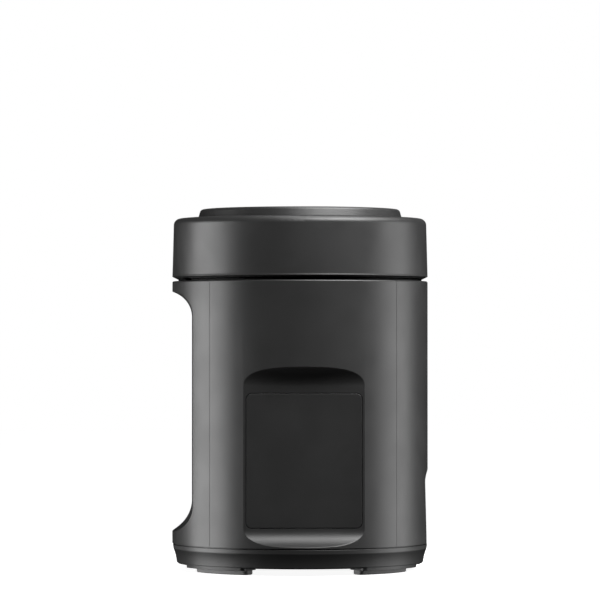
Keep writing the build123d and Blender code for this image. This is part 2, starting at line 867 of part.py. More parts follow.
with BuildPart() as lid_liner:
    with BuildSketch(Plane.XZ):
        with BuildLine():
            Polyline(
                (0, z_liner),
                (liner_radius - liner_wall, z_liner),
                (liner_radius - liner_wall, z_liner - liner_skirt),
                (liner_radius, z_liner - liner_skirt),
                (liner_radius, z_liner),
                (liner_rim_radius, z_liner + slope_rise),
                (liner_rim_radius, z_liner + liner_wall + liner_upstand),
                (liner_rim_radius - liner_wall, z_liner + liner_wall + liner_upstand),
                (liner_rim_radius - liner_wall, z_liner + liner_wall),
                (0, z_liner + liner_wall),
                close=True,
            )
        make_face()
    revolve(axis=Axis.Z)
    with BuildSketch(Plane.XY.offset(z_liner)):
        add(dome_outline(liner_wall))
    extrude(amount=dome_height + liner_wall)
    with BuildSketch(Plane.XY.offset(z_liner)):
        add(dome_outline(0))
    extrude(amount=dome_height, mode=Mode.SUBTRACT)
    with BuildSketch(Plane.XY.offset(z_liner - liner_skirt)):
        with Locations((liner_rear, 0)):
            Rectangle(body_radius, 2 * liner_clear_half_width, align=(Align.MAX, Align.CENTER))
        Circle(liner_radius - liner_wall, mode=Mode.INTERSECT)
    extrude(amount=lid_height, mode=Mode.SUBTRACT)
    with BuildSketch(Plane.XY.offset(z_liner - liner_skirt)):
        with Locations((liner_rear + swing_clearance, 0)):
            Rectangle(liner_radius + liner_rear, liner_wall, align=(Align.MAX, Align.CENTER))
    extrude(amount=liner_skirt + liner_wall + liner_upstand)
    with BuildSketch(Plane.XY.offset(z_liner - liner_skirt)):
        with Locations((root_front + swing_clearance, 0)):
            with GridLocations(0, 2 * bracket_middle, 1, 2):
                Rectangle(body_radius, bracket_slot_width, align=(Align.MAX, Align.CENTER))
    extrude(amount=lid_height, mode=Mode.SUBTRACT)
    with BuildSketch(Plane.XY.offset(z_liner)):
        with Locations(*lid_screw_places):
            Circle(screw_radius + running_clearance)
    extrude(amount=liner_wall, mode=Mode.SUBTRACT)

with BuildPart() as lid_gasket:
    gasket_radius = mouth_radius + collar_wall / 2
    with BuildSketch(Plane.XY.offset(z_land + seat_clearance)):
        Circle(gasket_radius + gasket_width / 2)
        Circle(gasket_radius - gasket_width / 2, mode=Mode.SUBTRACT)
    extrude(amount=z_liner - z_land - seat_clearance)

with BuildPart() as lid_screws:
    add(screw_set(lid_screw_places, z_liner, screw_length, 1))

with BuildPart() as lid_magnet:
    with BuildSketch(Plane.XY.offset(z_liner + liner_wall)):
        with Locations((sensor_offset, 0)):
            Circle(magnet_radius)
    extrude(amount=magnet_height)

z_disc_under = z_disc_top - disc_wall
lens_places = [polar(lens_pitch_radius, angle) for angle in (-lens_spread, 0, lens_spread)]
board_middle = button_offset - board_setback
with BuildPart() as lid_disc:
    spigot_radius = disc_opening_radius - seat_clearance
    with BuildSketch(Plane.XZ) as disc_profile:
        with BuildLine():
            Polyline(
                (0, z_disc_top),
                (disc_radius - disc_draft, z_disc_top),
                (disc_radius, z_lid_top),
                (spigot_radius, z_lid_top),
                (spigot_radius, z_lid_top - disc_spigot_depth),
                (spigot_radius - disc_wall, z_lid_top - disc_spigot_depth),
                (spigot_radius - disc_wall, z_disc_under),
                (0, z_disc_under),
                close=True,
            )
        make_face()
        disc_corner = (disc_radius - disc_draft, z_disc_top)
        fillet(disc_profile.vertices().sort_by_distance(disc_corner)[0], disc_edge_round)
    revolve(axis=Axis.Z)
    with BuildSketch(Plane.XY.offset(z_board + board_thickness)):
        with Locations((board_middle, 0)):
            post_span_x = control_board_length - 2 * board_post_radius
            post_span_y = control_board_width - 2 * board_post_radius
            with GridLocations(post_span_x, post_span_y, 2, 2):
                Circle(board_post_radius)
    extrude(amount=z_disc_under - z_board - board_thickness)
    with BuildSketch(Plane.XY.offset(z_disc_under)):
        with Locations((button_offset, 0)):
            Circle(button_radius + hairline_gap)
        with Locations(*lens_places):
            Circle(lens_radius + running_clearance)
    extrude(amount=disc_wall, mode=Mode.SUBTRACT)

with BuildPart() as status_lenses:
    with BuildSketch(Plane.XY.offset(z_disc_under)):
        with Locations(*lens_places):
            Circle(lens_radius)
    extrude(amount=disc_wall)
    with BuildSketch(Plane.XY.offset(z_disc_under)):
        with Locations(*lens_places):
            Circle(1.5 * lens_radius)
    extrude(amount=-lens_radius)

with BuildPart() as control_board:
    with BuildSketch(Plane.XY.offset(z_board)):
        with Locations((board_middle, 0)):
            RectangleRounded(control_board_length, control_board_width, board_post_radius)
    extrude(amount=board_thickness)
    with BuildSketch(Plane.XY.offset(z_board + board_thickness)):
        with Locations((button_offset, 0)):
            Rectangle(switch_size, switch_size)
        with Locations((button_offset - 3 * switch_size, 0)):
            with GridLocations(0, 2 * switch_size, 1, 2):
                Rectangle(1.6 * switch_size, switch_size)
    extrude(amount=switch_height)

with BuildPart() as start_button:
    with BuildSketch(Plane.XY.offset(z_disc_top + hairline_gap - button_cap)):
        with Locations((button_offset, 0)):
            Circle(button_radius)
    extrude(amount=button_cap)
    fillet(start_button.faces().sort_by(Axis.Z)[-1].edges(), button_cap / 5)
    with BuildSketch(Plane.XY.offset(z_disc_under - seat_clearance)):
        with Locations((button_offset, 0)):
            Circle(button_radius + 2 * hairline_gap + swing_clearance)
    extrude(amount=-disc_wall / 2)
    z_switch = z_board + board_thickness + switch_height
    with BuildSketch(Plane.XY.offset(z_switch + button_travel + seat_clearance)):
        with Locations((button_offset, 0)):
            Circle(switch_size / 2)
    extrude(amount=z_disc_under - z_switch - button_travel - seat_clearance)

# Chassis: plate on columns, with the insulated and heated well above it
output_case_radius = second_module * (wheel_teeth / 2 + tooth_addendum) + case_gap + case_wall
idler_case_radius = first_module * (wheel_teeth / 2 + tooth_addendum) + case_gap + case_wall
ear_places = [polar(output_case_radius + ear_offset, angle) for angle in (140, 220, 280)]
idler_ear = polar(idler_case_radius + ear_offset, 105)
ear_places.append((idler_x + idler_ear[0], idler_y + idler_ear[1]))
motor_ear = polar(motor_nose_radius + ear_offset, -60)
ear_places.append((motor_offset + motor_ear[0], motor_ear[1]))

with BuildPart() as chassis_plate:
    with BuildSketch(Plane.XY.offset(z_chassis)):
        with Locations((-chassis_rear, 0)):
            Rectangle(chassis_front + chassis_rear, 2 * chassis_half_width, align=(Align.MIN, Align.CENTER))
        Circle(inner_radius - 4 * swing_clearance, mode=Mode.INTERSECT)
        Circle(bush_radius + running_clearance, mode=Mode.SUBTRACT)
        with Locations((idler_x, idler_y)):
            Circle(idler_pin_radius + running_clearance, mode=Mode.SUBTRACT)
        with Locations(*column_places, *ear_places):
            Circle(screw_radius + running_clearance, mode=Mode.SUBTRACT)
        with Locations(*corner_places):
            Circle(post_radius + swing_clearance, mode=Mode.SUBTRACT)
    extrude(amount=chassis_thickness)

with BuildPart() as chassis_columns:
    with BuildSketch(Plane.XY.offset(z_floor)):
        with Locations(*column_places):
            Circle(column_radius)
    extrude(amount=z_chassis - z_floor)
    with BuildSketch(Plane.XY.offset(z_chassis - screw_length)):
        with Locations(*column_places):
            Circle(screw_radius + running_clearance)
    extrude(amount=screw_length, mode=Mode.SUBTRACT)

with BuildPart() as chassis_screws:
    add(screw_set(column_places, z_chassis_top, screw_length, -1))

with BuildPart() as insulating_ring:
    with BuildSketch(Plane.XY.offset(z_chassis_top)):
        Circle(well_radius)
        Circle(well_radius - insulator_width, mode=Mode.SUBTRACT)
    extrude(amount=insulator_height)

well_outer = well_radius + well_wall
with BuildPart() as bucket_well:
    with BuildSketch(Plane.XZ):
        with BuildLine():
            Polyline(
                (well_hole_radius, z_well),
                (well_outer, z_well),
                (well_outer, z_collar - well_wall),
                (well_outer + well_flange, z_collar - well_wall),
                (well_outer + well_flange, z_collar),
                (well_radius, z_collar),
                (well_radius, z_well_floor),
                (well_hole_radius, z_well_floor),
                close=True,
            )
        make_face()
    revolve(axis=Axis.Z)
    for turn in range(0, 180, 30):
        with BuildSketch(Plane.XZ.rotated((0, 0, turn))):
            with Locations((0, z_collar - well_vent_drop)):
                Circle(well_vent_radius)
        extrude(amount=body_radius, both=True, mode=Mode.SUBTRACT)
    with BuildSketch(Plane.XY.offset(z_well_floor)):
        with PolarLocations(bucket_low_inside, 3):
            Rectangle(stud_length, stud_width)
    extrude(amount=stud_height)

with BuildPart() as heater_band:
    heater_radius = well_outer + seat_clearance
    with BuildSketch(Plane.XY.offset(z_well + heater_rise)):
        Circle(heater_radius + heater_thickness)
        Circle(heater_radius, mode=Mode.SUBTRACT)
    extrude(amount=heater_height)
    with BuildSketch(Plane.XY.offset(z_well + heater_rise + heater_height / 3)):
        with Locations((heater_radius + heater_thickness / 2, 0)):
            Rectangle(4 * heater_thickness, 8 * heater_thickness, align=(Align.MIN, Align.CENTER))
    extrude(amount=heater_height / 3)

with BuildPart() as thermostat:
    with BuildSketch(Plane.XY.offset(z_well)):
        with Locations(polar(well_radius - insulator_width - 2 * thermostat_radius, -40)):
            Circle(thermostat_radius)
    extrude(amount=seat_clearance - insulator_height)

# Bucket with its bush, breaker pegs, handle ears and handle
boss_top = z_bucket_floor + bucket_boss_height
z_peg = z_bucket_floor + paddle_low_lift + (paddle_arm_height + paddle_arm_step) / 2
with BuildPart() as bucket:
    with BuildSketch(Plane.XZ):
        with BuildLine():
            Polyline(
                (bush_radius + running_clearance, z_bucket_under),
                (bucket_low_inside, z_bucket_under),
                (bucket_low_inside, z_well_floor),
                (bucket_low, z_well_floor),
                (bucket_outer, z_bucket_top - bucket_rim_height),
                (rim_radius, z_bucket_top - bucket_rim_height),
                (rim_radius, z_bucket_top),
                (bucket_radius, z_bucket_top),
                (bucket_low_inside, z_bucket_floor),
                (bucket_boss_radius, z_bucket_floor),
                (bucket_boss_radius, boss_top),
                (bush_radius + running_clearance, boss_top),
                close=True,
            )
        make_face()
    revolve(axis=Axis.Z)
    with BuildSketch(Plane.XZ.offset(rim_radius - bucket_ear_thickness)):
        with Locations((0, z_bail)):
            Circle(bucket_ear_width / 2)
            Rectangle(bucket_ear_width, bail_rise + bucket_rim_height / 2, align=(Align.CENTER, Align.MAX))
            Circle(bail_pin_radius + running_clearance, mode=Mode.SUBTRACT)
    ear = extrude(amount=bucket_ear_thickness)
    mirror(ear, about=Plane.XZ)
    stop_x = -bail_bar_radius - hairline_gap
    stop_y = rim_radius - bucket_ear_thickness - bail_stop / 2
    with BuildSketch(Plane.XY.offset(z_bucket_top)):
        with Locations((stop_x, stop_y), (stop_x, -stop_y)):
            Rectangle(bail_stop, bail_stop, align=(Align.MAX, Align.CENTER))
    extrude(amount=bail_rise + 2 * bail_bar_radius)
    for angle in (60, 240):
        start = polar(bucket_low - peg_length, angle)
        direction = polar(1, angle)
        with BuildSketch(Plane(origin=(*start, z_peg), z_dir=(*direction, 0))):
            Circle(peg_radius)
        extrude(amount=peg_length)
    with BuildSketch(Plane.XY.offset(z_well_floor)):
        with PolarLocations(bucket_low_inside, 3):
            Rectangle(stud_length + 4 * bucket_wall, stud_width + 2 * seat_clearance)
    extrude(amount=stud_height + seat_clearance, mode=Mode.SUBTRACT)
    with BuildSketch(Plane.XY.offset(z_bucket_top)):
        Circle(well_radius)
        Circle(rim_radius, mode=Mode.SUBTRACT)
    extrude(amount=2 * bail_rise, mode=Mode.SUBTRACT)

with BuildPart() as bucket_bush:
    with BuildSketch(Plane.XY.offset(z_bucket_under)):
        Circle(bush_radius)
        Circle(shaft_radius + running_clearance, mode=Mode.SUBTRACT)
    extrude(amount=boss_top - z_bucket_under)

bail_radius = rim_radius - bucket_ear_thickness - bail_bar_radius - hairline_gap
with BuildPart() as bucket_handle:
    with BuildSketch(left_plane):
        with Locations((bail_radius, z_bail)):
            Circle(bail_bar_radius)
    revolve(axis=Axis.Z, revolution_arc=180)
    with BuildSketch(Plane.XZ.rotated((0, 0, -bail_grip_half_angle))):
        with Locations((bail_radius, z_bail)):
            Circle(bail_grip_radius)
    revolve(axis=Axis.Z, revolution_arc=2 * bail_grip_half_angle)
    with BuildSketch(Plane.XZ.offset(bail_radius)):
        with Locations((0, z_bail)):
            Circle(bail_pin_radius)
    pin = extrude(amount=rim_radius - swing_clearance - bail_radius)
    mirror(pin, about=Plane.XZ)
    with BuildSketch(Plane.XZ.offset(bail_radius - bail_bar_radius)):
        with Locations((0, z_bail)):
            Circle(bail_bar_radius)
    knuckle = extrude(amount=2 * bail_bar_radius)
    mirror(knuckle, about=Plane.XZ)

# Paddle and its shaft, from the dog coupling under the bucket up into the hub
z_dog = z_well_floor + swing_clearance
z_paddle = z_bucket_floor + paddle_low_lift
with BuildPart() as paddle_shaft:
    z_cup_top = z_bucket_under - swing_clearance
    with BuildSketch(Plane.XY.offset(z_dog)):
        Circle(coupling_radius)
    extrude(amount=z_cup_top - z_dog)
    with BuildSketch(Plane.XY.offset(z_dog)):
        RegularPolygon(dog_radius + 2 * seat_clearance, coupling_lobes)
    extrude(amount=dog_height + seat_clearance, mode=Mode.SUBTRACT)
    with BuildSketch(Plane.XY.offset(z_cup_top)):
        Circle(shaft_radius)
    extrude(amount=z_paddle + paddle_hub_height - paddle_hub_radius / 2 - z_cup_top)

with BuildPart() as drive_dog:
    with BuildSketch(Plane.XY.offset(z_dog)):
        RegularPolygon(dog_radius, coupling_lobes)
        Circle(shaft_radius + running_clearance, mode=Mode.SUBTRACT)
    extrude(amount=dog_height)

with BuildPart() as paddle:
    with BuildSketch(Plane.XY.offset(z_paddle)):
        Circle(paddle_hub_radius)
    extrude(amount=paddle_hub_height)
    fillet(paddle.faces().sort_by(Axis.Z)[-1].edges(), paddle_hub_radius / 3)
    arm_reach = bucket_low_inside - paddle_tip_gap
    arm_end = arm_reach - paddle_tip_setback
    half_arm = paddle_arm_width / 2
    for number in range(4):
        level = z_paddle + number % 2 * paddle_arm_step
        with BuildSketch(Plane.XY.offset(level).rotated((0, 0, 90 * number))):
            with BuildLine():
                lead = ThreePointArc((0, half_arm), (arm_reach / 2, paddle_arm_width), (arm_end, 0))
                hollow = (arm_reach / 2, -paddle_hollow)
                tail = ThreePointArc((0, -half_arm), hollow, (arm_end, -paddle_arm_width))
                Line(lead @ 0, tail @ 0)
                Line(lead @ 1, tail @ 1)
            make_face()
        extrude(amount=paddle_arm_height)
    with BuildSketch(Plane.XY.offset(z_paddle)):
        Circle(bucket_boss_radius + swing_clearance)
    extrude(amount=boss_top + swing_clearance - z_paddle, mode=Mode.SUBTRACT)
    with BuildSketch(Plane.XY.offset(z_paddle)):
        Circle(shaft_radius + running_clearance)
    extrude(amount=paddle_hub_height - paddle_hub_radius / 2, mode=Mode.SUBTRACT)

# Gear train under the chassis plate
with BuildPart() as gearbox_case:
    with BuildSketch(Plane.XY.offset(z_case)):
        add(case_outline(0))
    extrude(amount=z_chassis - z_case)
    with BuildSketch(Plane.XY.offset(z_chassis)):
        with Locations(*ear_places):
            Circle(ear_offset + case_wall)
    extrude(amount=-case_wall)
    with BuildSketch(Plane.XY.offset(z_case_floor)):
        add(case_outline(case_wall))
    extrude(amount=z_chassis - z_case_floor, mode=Mode.SUBTRACT)
    with BuildSketch(Plane.XY.offset(z_case)):
        Circle(bush_radius + case_wall)
    extrude(amount=z_second - case_gap - z_case)
    across = polar(motor_screw_pitch, motor_angle + 90)
    motor_screw_places = [(motor_offset + side * across[0], side * across[1]) for side in (-1, 1)]
    with BuildSketch(Plane.XY.offset(z_case)):
        Circle(bush_radius + running_clearance)
        with Locations((idler_x, idler_y)):
            Circle(idler_pin_radius + running_clearance)
        with Locations((motor_offset, 0)):
            Circle(2 * motor_shaft_radius)
        with Locations(*ear_places, *motor_screw_places):
            Circle(screw_radius + running_clearance)
    extrude(amount=z_chassis - z_case, mode=Mode.SUBTRACT)

with BuildPart() as gearbox_screws:
    add(screw_set(ear_places, z_chassis - case_wall, case_wall + chassis_thickness, 1))

with BuildPart() as lower_bush:
    with BuildSketch(Plane.XY.offset(z_case)):
        Circle(bush_radius)
        Circle(shaft_radius + running_clearance, mode=Mode.SUBTRACT)
    extrude(amount=z_second - case_gap - z_case)

with BuildPart() as upper_bush:
    with BuildSketch(Plane.XY.offset(z_chassis)):
        Circle(bush_radius)
        Circle(shaft_radius + running_clearance, mode=Mode.SUBTRACT)
    extrude(amount=chassis_thickness)
    with BuildSketch(Plane.XY.offset(z_chassis_top)):
        Circle(bush_radius + bush_wall)
        Circle(shaft_radius + running_clearance, mode=Mode.SUBTRACT)
    extrude(amount=insulator_height / 2)

with BuildPart() as idler_pin:
    with BuildSketch(Plane.XY.offset(z_case)):
        with Locations((idler_x, idler_y)):
            Circle(idler_pin_radius)
    extrude(amount=z_chassis_top - z_case)

with BuildPart() as output_shaft:
    with BuildSketch(Plane.XY.offset(z_case - swing_clearance)):
        Circle(shaft_radius)
    extrude(amount=z_dog + dog_height - z_case + swing_clearance)

with BuildPart() as output_gear:
    with BuildSketch(Plane.XY.offset(z_second)):
        add(gear_outline(second_module, wheel_teeth, idler_angle))
        with PolarLocations(second_module * wheel_teeth / 4 + bush_wall, 6):
            Circle(second_module * wheel_teeth / 12, mode=Mode.SUBTRACT)
        Circle(shaft_radius + running_clearance, mode=Mode.SUBTRACT)
    extrude(amount=second_face)

with BuildPart() as idler_pinion:
    with BuildSketch(Plane.XY.offset(z_second)):
        with Locations((idler_x, idler_y)):
            add(gear_outline(second_module, pinion_teeth, idler_angle + 180 + 180 / pinion_teeth))
            Circle(idler_pin_radius + running_clearance, mode=Mode.SUBTRACT)
    extrude(amount=second_face)

with BuildPart() as idler_wheel:
    with BuildSketch(Plane.XY.offset(z_first)):
        with Locations((idler_x, idler_y)):
            add(gear_outline(first_module, wheel_teeth, motor_angle))
    extrude(amount=first_face)
    with BuildSketch(Plane.XY.offset(z_first + first_face)):
        with Locations((idler_x, idler_y)):
            Circle(2 * idler_pin_radius)
    extrude(amount=gear_level_gap)
    with BuildSketch(Plane.XY.offset(z_first)):
        with Locations((idler_x, idler_y)):
            Circle(idler_pin_radius + running_clearance)
    extrude(amount=first_face + gear_level_gap, mode=Mode.SUBTRACT)

with BuildPart() as motor_pinion:
    with BuildSketch(Plane.XY.offset(z_first)):
        with Locations((motor_offset, 0)):
            add(gear_outline(first_module, pinion_teeth, motor_angle + 180 + 180 / pinion_teeth))
            Circle(motor_shaft_radius + running_clearance, mode=Mode.SUBTRACT)
    extrude(amount=first_face)

with BuildPart() as motor_shaft:
    with BuildSketch(Plane.XY.offset(z_case - motor_bore_depth + swing_clearance)):
        with Locations((motor_offset, 0)):
            Circle(motor_shaft_radius)
    extrude(amount=z_first + first_face - z_case + motor_bore_depth - swing_clearance)

with BuildPart() as gear_motor:
    with BuildSketch(Plane.XY.offset(z_motor)):
        with Locations((motor_offset, 0)):
            Circle(motor_radius)
    extrude(amount=motor_length)
    fillet(gear_motor.faces().sort_by(Axis.Z)[0].edges(), motor_shaft_radius)
    with BuildSketch(Plane.XY.offset(z_case)):
        with Locations((motor_offset, 0)):
            Circle(motor_shaft_radius + running_clearance)
    extrude(amount=-motor_bore_depth, mode=Mode.SUBTRACT)
    with BuildSketch(Plane.XY.offset(z_case)):
        with Locations(*motor_screw_places):
            Circle(screw_radius + running_clearance)
    extrude(amount=-screw_length, mode=Mode.SUBTRACT)

with BuildPart() as motor_screws:
    add(screw_set(motor_screw_places, z_case_floor, screw_length, -1))

# Rear fan, grille and power inlet
rear_inner = -rear_flat_x + shell_wall
fan_outer = rear_inner + grille_flange_thickness
fan_axis_x = fan_outer + (fan_depth - fan_back) / 2
with BuildPart() as rear_grille:
    with BuildSketch(Plane.YZ.offset(-rear_flat_x)):
        with Locations((0, z_grille)):
            RectangleRounded(grille_size, grille_size, grille_corner - hairline_gap)
    extrude(amount=shell_wall)
    with BuildSketch(Plane.YZ.offset(rear_inner)):
        with Locations((0, z_grille)):
            RectangleRounded(grille_size + 2 * grille_flange, grille_size + 2 * grille_flange, grille_corner)
    extrude(amount=grille_flange_thickness)
    with BuildSketch(Plane.YZ.offset(-rear_flat_x)):
        with Locations((0, z_grille)):
            with GridLocations(0, grille_slot_pitch, 1, grille_slot_count):
                SlotOverall(2 * fan_bore_radius - grille_slot, grille_slot)
    extrude(amount=shell_wall + grille_flange_thickness, mode=Mode.SUBTRACT)

with BuildPart() as fan_frame:
    with BuildSketch(Plane.YZ.offset(fan_outer)):
        with Locations((0, z_grille)):
            RectangleRounded(fan_size, fan_size, grille_corner)
            Circle(fan_bore_radius, mode=Mode.SUBTRACT)
    extrude(amount=fan_depth)
    with BuildSketch(Plane.YZ.offset(fan_outer + fan_depth)):
        with Locations((0, z_grille)):
            Circle(fan_hub_radius)
            with PolarLocations(0, 4, 45):
                Rectangle(fan_bore_radius + fan_back, fan_back, align=(Align.MIN, Align.CENTER))
    extrude(amount=-fan_back)
    with BuildSketch(Plane.YZ.offset(fan_outer + fan_depth - fan_back)):
        with Locations((0, z_grille)):
            Circle(fan_pin_radius)
    extrude(amount=fan_back - fan_depth + 2 * swing_clearance)

with BuildPart() as fan_impeller:
    with BuildSketch(Plane.YZ.offset(fan_outer + swing_clearance)):
        with Locations((0, z_grille)):
            Circle(fan_hub_radius)
    extrude(amount=fan_depth - fan_back - 2 * swing_clearance)
    for number in range(fan_blades):
        spoke = polar(1, 360 * number / fan_blades)
        blade_plane = Plane(origin=(fan_axis_x, 0, z_grille), x_dir=(1, 0, 0), z_dir=(0, *spoke))
        with BuildSketch(blade_plane.offset(fan_hub_radius - fan_blade_root)):
            Rectangle(fan_depth - fan_back - swing_clearance, fan_back / 2, rotation=fan_blade_angle)
        extrude(amount=fan_bore_radius - fan_tip_gap - fan_hub_radius + fan_blade_root)
    with BuildSketch(Plane.YZ.offset(fan_outer)):
        with Locations((0, z_grille)):
            Circle(fan_pin_radius + running_clearance)
    extrude(amount=fan_depth, mode=Mode.SUBTRACT)

with BuildPart() as power_inlet:
    with BuildSketch(Plane.YZ.offset(rear_inner)):
        with Locations((0, z_inlet)):
            RectangleRounded(inlet_width + 2 * inlet_flange, inlet_height + 2 * inlet_flange, inlet_flange)
    extrude(amount=inlet_flange)
    with BuildSketch(Plane.YZ.offset(-rear_flat_x)):
        with Locations((0, z_inlet)):
            Rectangle(inlet_width, inlet_height)
    extrude(amount=inlet_depth)
    with BuildSketch(Plane.YZ.offset(-rear_flat_x)):
        with Locations((0, z_inlet)):
            RectangleRounded(inlet_socket_width, inlet_socket_height, inlet_flange)
    extrude(amount=inlet_socket_depth, mode=Mode.SUBTRACT)

# Electrics inside the base and under the deck
with BuildPart() as power_board:
    with BuildSketch(Plane.XY.offset(z_floor + board_post_height)):
        Rectangle(board_hole_length + 4 * board_post_radius, board_hole_width + 4 * board_post_radius)
    extrude(amount=board_thickness)
    with BuildSketch(Plane.XY.offset(z_floor + board_post_height + board_thickness)):
        with Locations((-board_hole_length / 4, board_hole_width / 6)):
            Rectangle(board_hole_length / 3, board_hole_width / 2)
        with Locations((board_hole_length / 4, 0)):
            with GridLocations(0, board_hole_width / 2, 1, 2):
                Circle(board_hole_width / 8)
    extrude(amount=board_part_height)

with BuildPart() as reed_switch:
    with BuildSketch(Plane.XY.offset(z_deck_under)):
        with Locations((sensor_offset, 0)):
            Rectangle(magnet_radius, 3 * magnet_radius)
    extrude(amount=-magnet_height)

pieces = {
    "base_pan": base_pan,
    "foot_pads": foot_pads,
    "base_screws": base_screws,
    "body_shell": body_shell,
    "top_deck": top_deck,
    "deck_screws": deck_screws,
    "left_hinge_bracket": left_hinge_bracket,
    "right_hinge_bracket": right_hinge_bracket,
    "bracket_screws": bracket_screws,
    "rear_grille": rear_grille,
    "power_inlet": power_inlet,
    "bucket_well": bucket_well,
    "insulating_ring": insulating_ring,
    "heater_band": heater_band,
    "thermostat": thermostat,
    "chassis_plate": chassis_plate,
    "chassis_columns": chassis_columns,
    "chassis_screws": chassis_screws,
    "gearbox_case": gearbox_case,
    "gearbox_screws": gearbox_screws,
    "gear_motor": gear_motor,
    "motor_screws": motor_screws,
    "upper_bush": upper_bush,
    "lower_bush": lower_bush,
    "idler_pin": idler_pin,
    "fan_frame": fan_frame,
    "power_board": power_board,
    "reed_switch": reed_switch,
    "bucket": bucket,
    "bucket_bush": bucket_bush,
    "left_filter_bay": left_filter_bay,
    "right_filter_bay": right_filter_bay,
    "lid_cover": lid_cover,
    "lid_disc": lid_disc,
    "lid_liner": lid_liner,
    "lid_gasket": lid_gasket,
    "control_board": control_board,
    "status_lenses": status_lenses,
    "lid_magnet": lid_magnet,
    "hinge_pins": hinge_pins,
    "hinge_washers": hinge_washers,
    "lid_screws": lid_screws,
    "start_button": start_button,
    "paddle": paddle,
    "paddle_shaft": paddle_shaft,
    "drive_dog": drive_dog,
    "output_shaft": output_shaft,
    "output_gear": output_gear,
    "idler_wheel": idler_wheel,
    "idler_pinion": idler_pinion,
    "motor_shaft": motor_shaft,
    "motor_pinion": motor_pinion,
    "fan_impeller": fan_impeller,
    "left_filter_cover": left_filter_cover,
    "left_filter_frame": left_filter_frame,
    "left_carbon_pad": left_carbon_pad,
    "right_filter_cover": right_filter_cover,
    "right_filter_frame": right_filter_frame,
    "right_carbon_pad": right_carbon_pad,
    "bucket_handle": bucket_handle,
}

os.makedirs("parts", exist_ok=True)
for name, piece in pieces.items():
    piece.part.label = name
    export_step(piece.part, f"parts/{name}.step")
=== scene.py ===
import json
from math import cos, pi, radians, sin

import bmesh
import bpy
from mathutils import Matrix, Vector


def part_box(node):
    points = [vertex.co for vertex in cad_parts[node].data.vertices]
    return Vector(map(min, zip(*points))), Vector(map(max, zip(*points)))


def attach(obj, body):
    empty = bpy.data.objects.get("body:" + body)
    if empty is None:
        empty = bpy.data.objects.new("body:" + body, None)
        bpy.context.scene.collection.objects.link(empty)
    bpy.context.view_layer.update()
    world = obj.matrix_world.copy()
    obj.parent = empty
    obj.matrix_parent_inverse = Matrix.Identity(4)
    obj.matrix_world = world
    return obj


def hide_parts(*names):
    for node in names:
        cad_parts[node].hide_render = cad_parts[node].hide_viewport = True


# Looks of a round countertop kitchen-waste compactor: the finish of every piece, the small moulded and
# soft details, and a plain white studio. Everything is in metres, in the frame of the loaded part.
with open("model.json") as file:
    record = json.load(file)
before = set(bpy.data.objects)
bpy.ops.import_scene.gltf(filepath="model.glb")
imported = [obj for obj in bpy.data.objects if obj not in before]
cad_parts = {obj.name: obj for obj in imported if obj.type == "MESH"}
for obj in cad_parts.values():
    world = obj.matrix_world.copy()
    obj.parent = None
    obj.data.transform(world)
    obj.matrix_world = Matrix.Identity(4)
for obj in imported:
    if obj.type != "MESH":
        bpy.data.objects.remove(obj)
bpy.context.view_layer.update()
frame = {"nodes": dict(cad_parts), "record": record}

MM = 0.001

# Sizes of the dressed details, matched to the part's own
body_radius = 127.5 * MM
body_low = 27 * MM
body_high = 286.5 * MM
parting_angle = 44.2
parting_bead = 0.2 * MM
parting_sink = 0.06 * MM
parting_radius = body_radius - parting_sink
parting_sides = 8

bucket_floor_radius = 60 * MM
bucket_mouth_radius = 63 * MM
bucket_floor_level = 121 * MM
bucket_mouth_level = 258 * MM
fill_mark_levels = (185 * MM, 205 * MM, 225 * MM)
fill_mark_count = 20
fill_mark_length = 7 * MM
fill_mark_bead = 0.5 * MM
fill_mark_points = 7
fill_mark_sides = 10
fill_mark_fullness = 0.35

bail_level = 264 * MM
bail_radius = 62.4 * MM
sleeve_radius = 4.5 * MM
sleeve_rib = 0.45 * MM
sleeve_rib_count = 17
sleeve_half_angle = 23
sleeve_points = 240
sleeve_sides = 32

seal_inner = 69.1 * MM
seal_outer = 72.4 * MM
seal_top = 289 * MM
seal_web = 1.9 * MM
seal_lip = 1.75 * MM
seal_lip_share = 0.9
seal_lip_steps = 8
seal_segments = 160

inlet_level = 86 * MM
inlet_pin_root = -91.5 * MM
inlet_pin_length = 15 * MM
inlet_pin_width = 2.0 * MM
inlet_pin_height = 4.0 * MM
inlet_pin_nose = 0.6 * MM
inlet_nose_segments = 3
inlet_pin_places = ((-7 * MM, -2 * MM), (7 * MM, -2 * MM), (0, 2 * MM))

# Flare of the lid's lower rim, shown by its shading alone
flare_low = 292.3 * MM
flare_rise = 1.4 * MM
flare_depth = 0.28 * MM

# Heights between which painted shade deepens up the base's skirt, and where it ends at its lip
skirt_low = 6 * MM
skirt_high = 21.5 * MM
lip_low = 22.3 * MM

# Painted shade in crevices: how far it looks for what closes it in, and the shares of open sky where it
# is darkest and clear
open_gap = (12 * MM, 0.3, 0.65)
seam_gap = (2 * MM, 0.2, 0.5)
cover_gap = (4 * MM, 0.85, 1.0)

pouch_gap = 0.4 * MM
pouch_cells_across = 5
pouch_cells_up = 6
pouch_swell = 1.6 * MM
pouch_fullness = 0.5
pouch_rim_slope = 8
pouch_corner_draw = 0.012
pouch_cuts = 39

weld_distance = 0.01 * MM


class Value:
    """A node's output in a finish. Arithmetic on number values adds the Math nodes that work it out."""

    def __init__(self, finish, socket):
        self.finish = finish
        self.socket = socket

    def math(self, operation, first, second):
        return self.finish.node("Math", {"operation": operation}, {0: first, 1: second})

    def __add__(self, other):
        return self.math("ADD", self, other)

    def __radd__(self, other):
        return self.math("ADD", other, self)

    def __sub__(self, other):
        return self.math("SUBTRACT", self, other)

    def __rsub__(self, other):
        return self.math("SUBTRACT", other, self)

    def __mul__(self, other):
        return self.math("MULTIPLY", self, other)

    def __rmul__(self, other):
        return self.math("MULTIPLY", other, self)

    def clamped(self):
        return self.finish.node("Clamp", {}, {"Value": self})


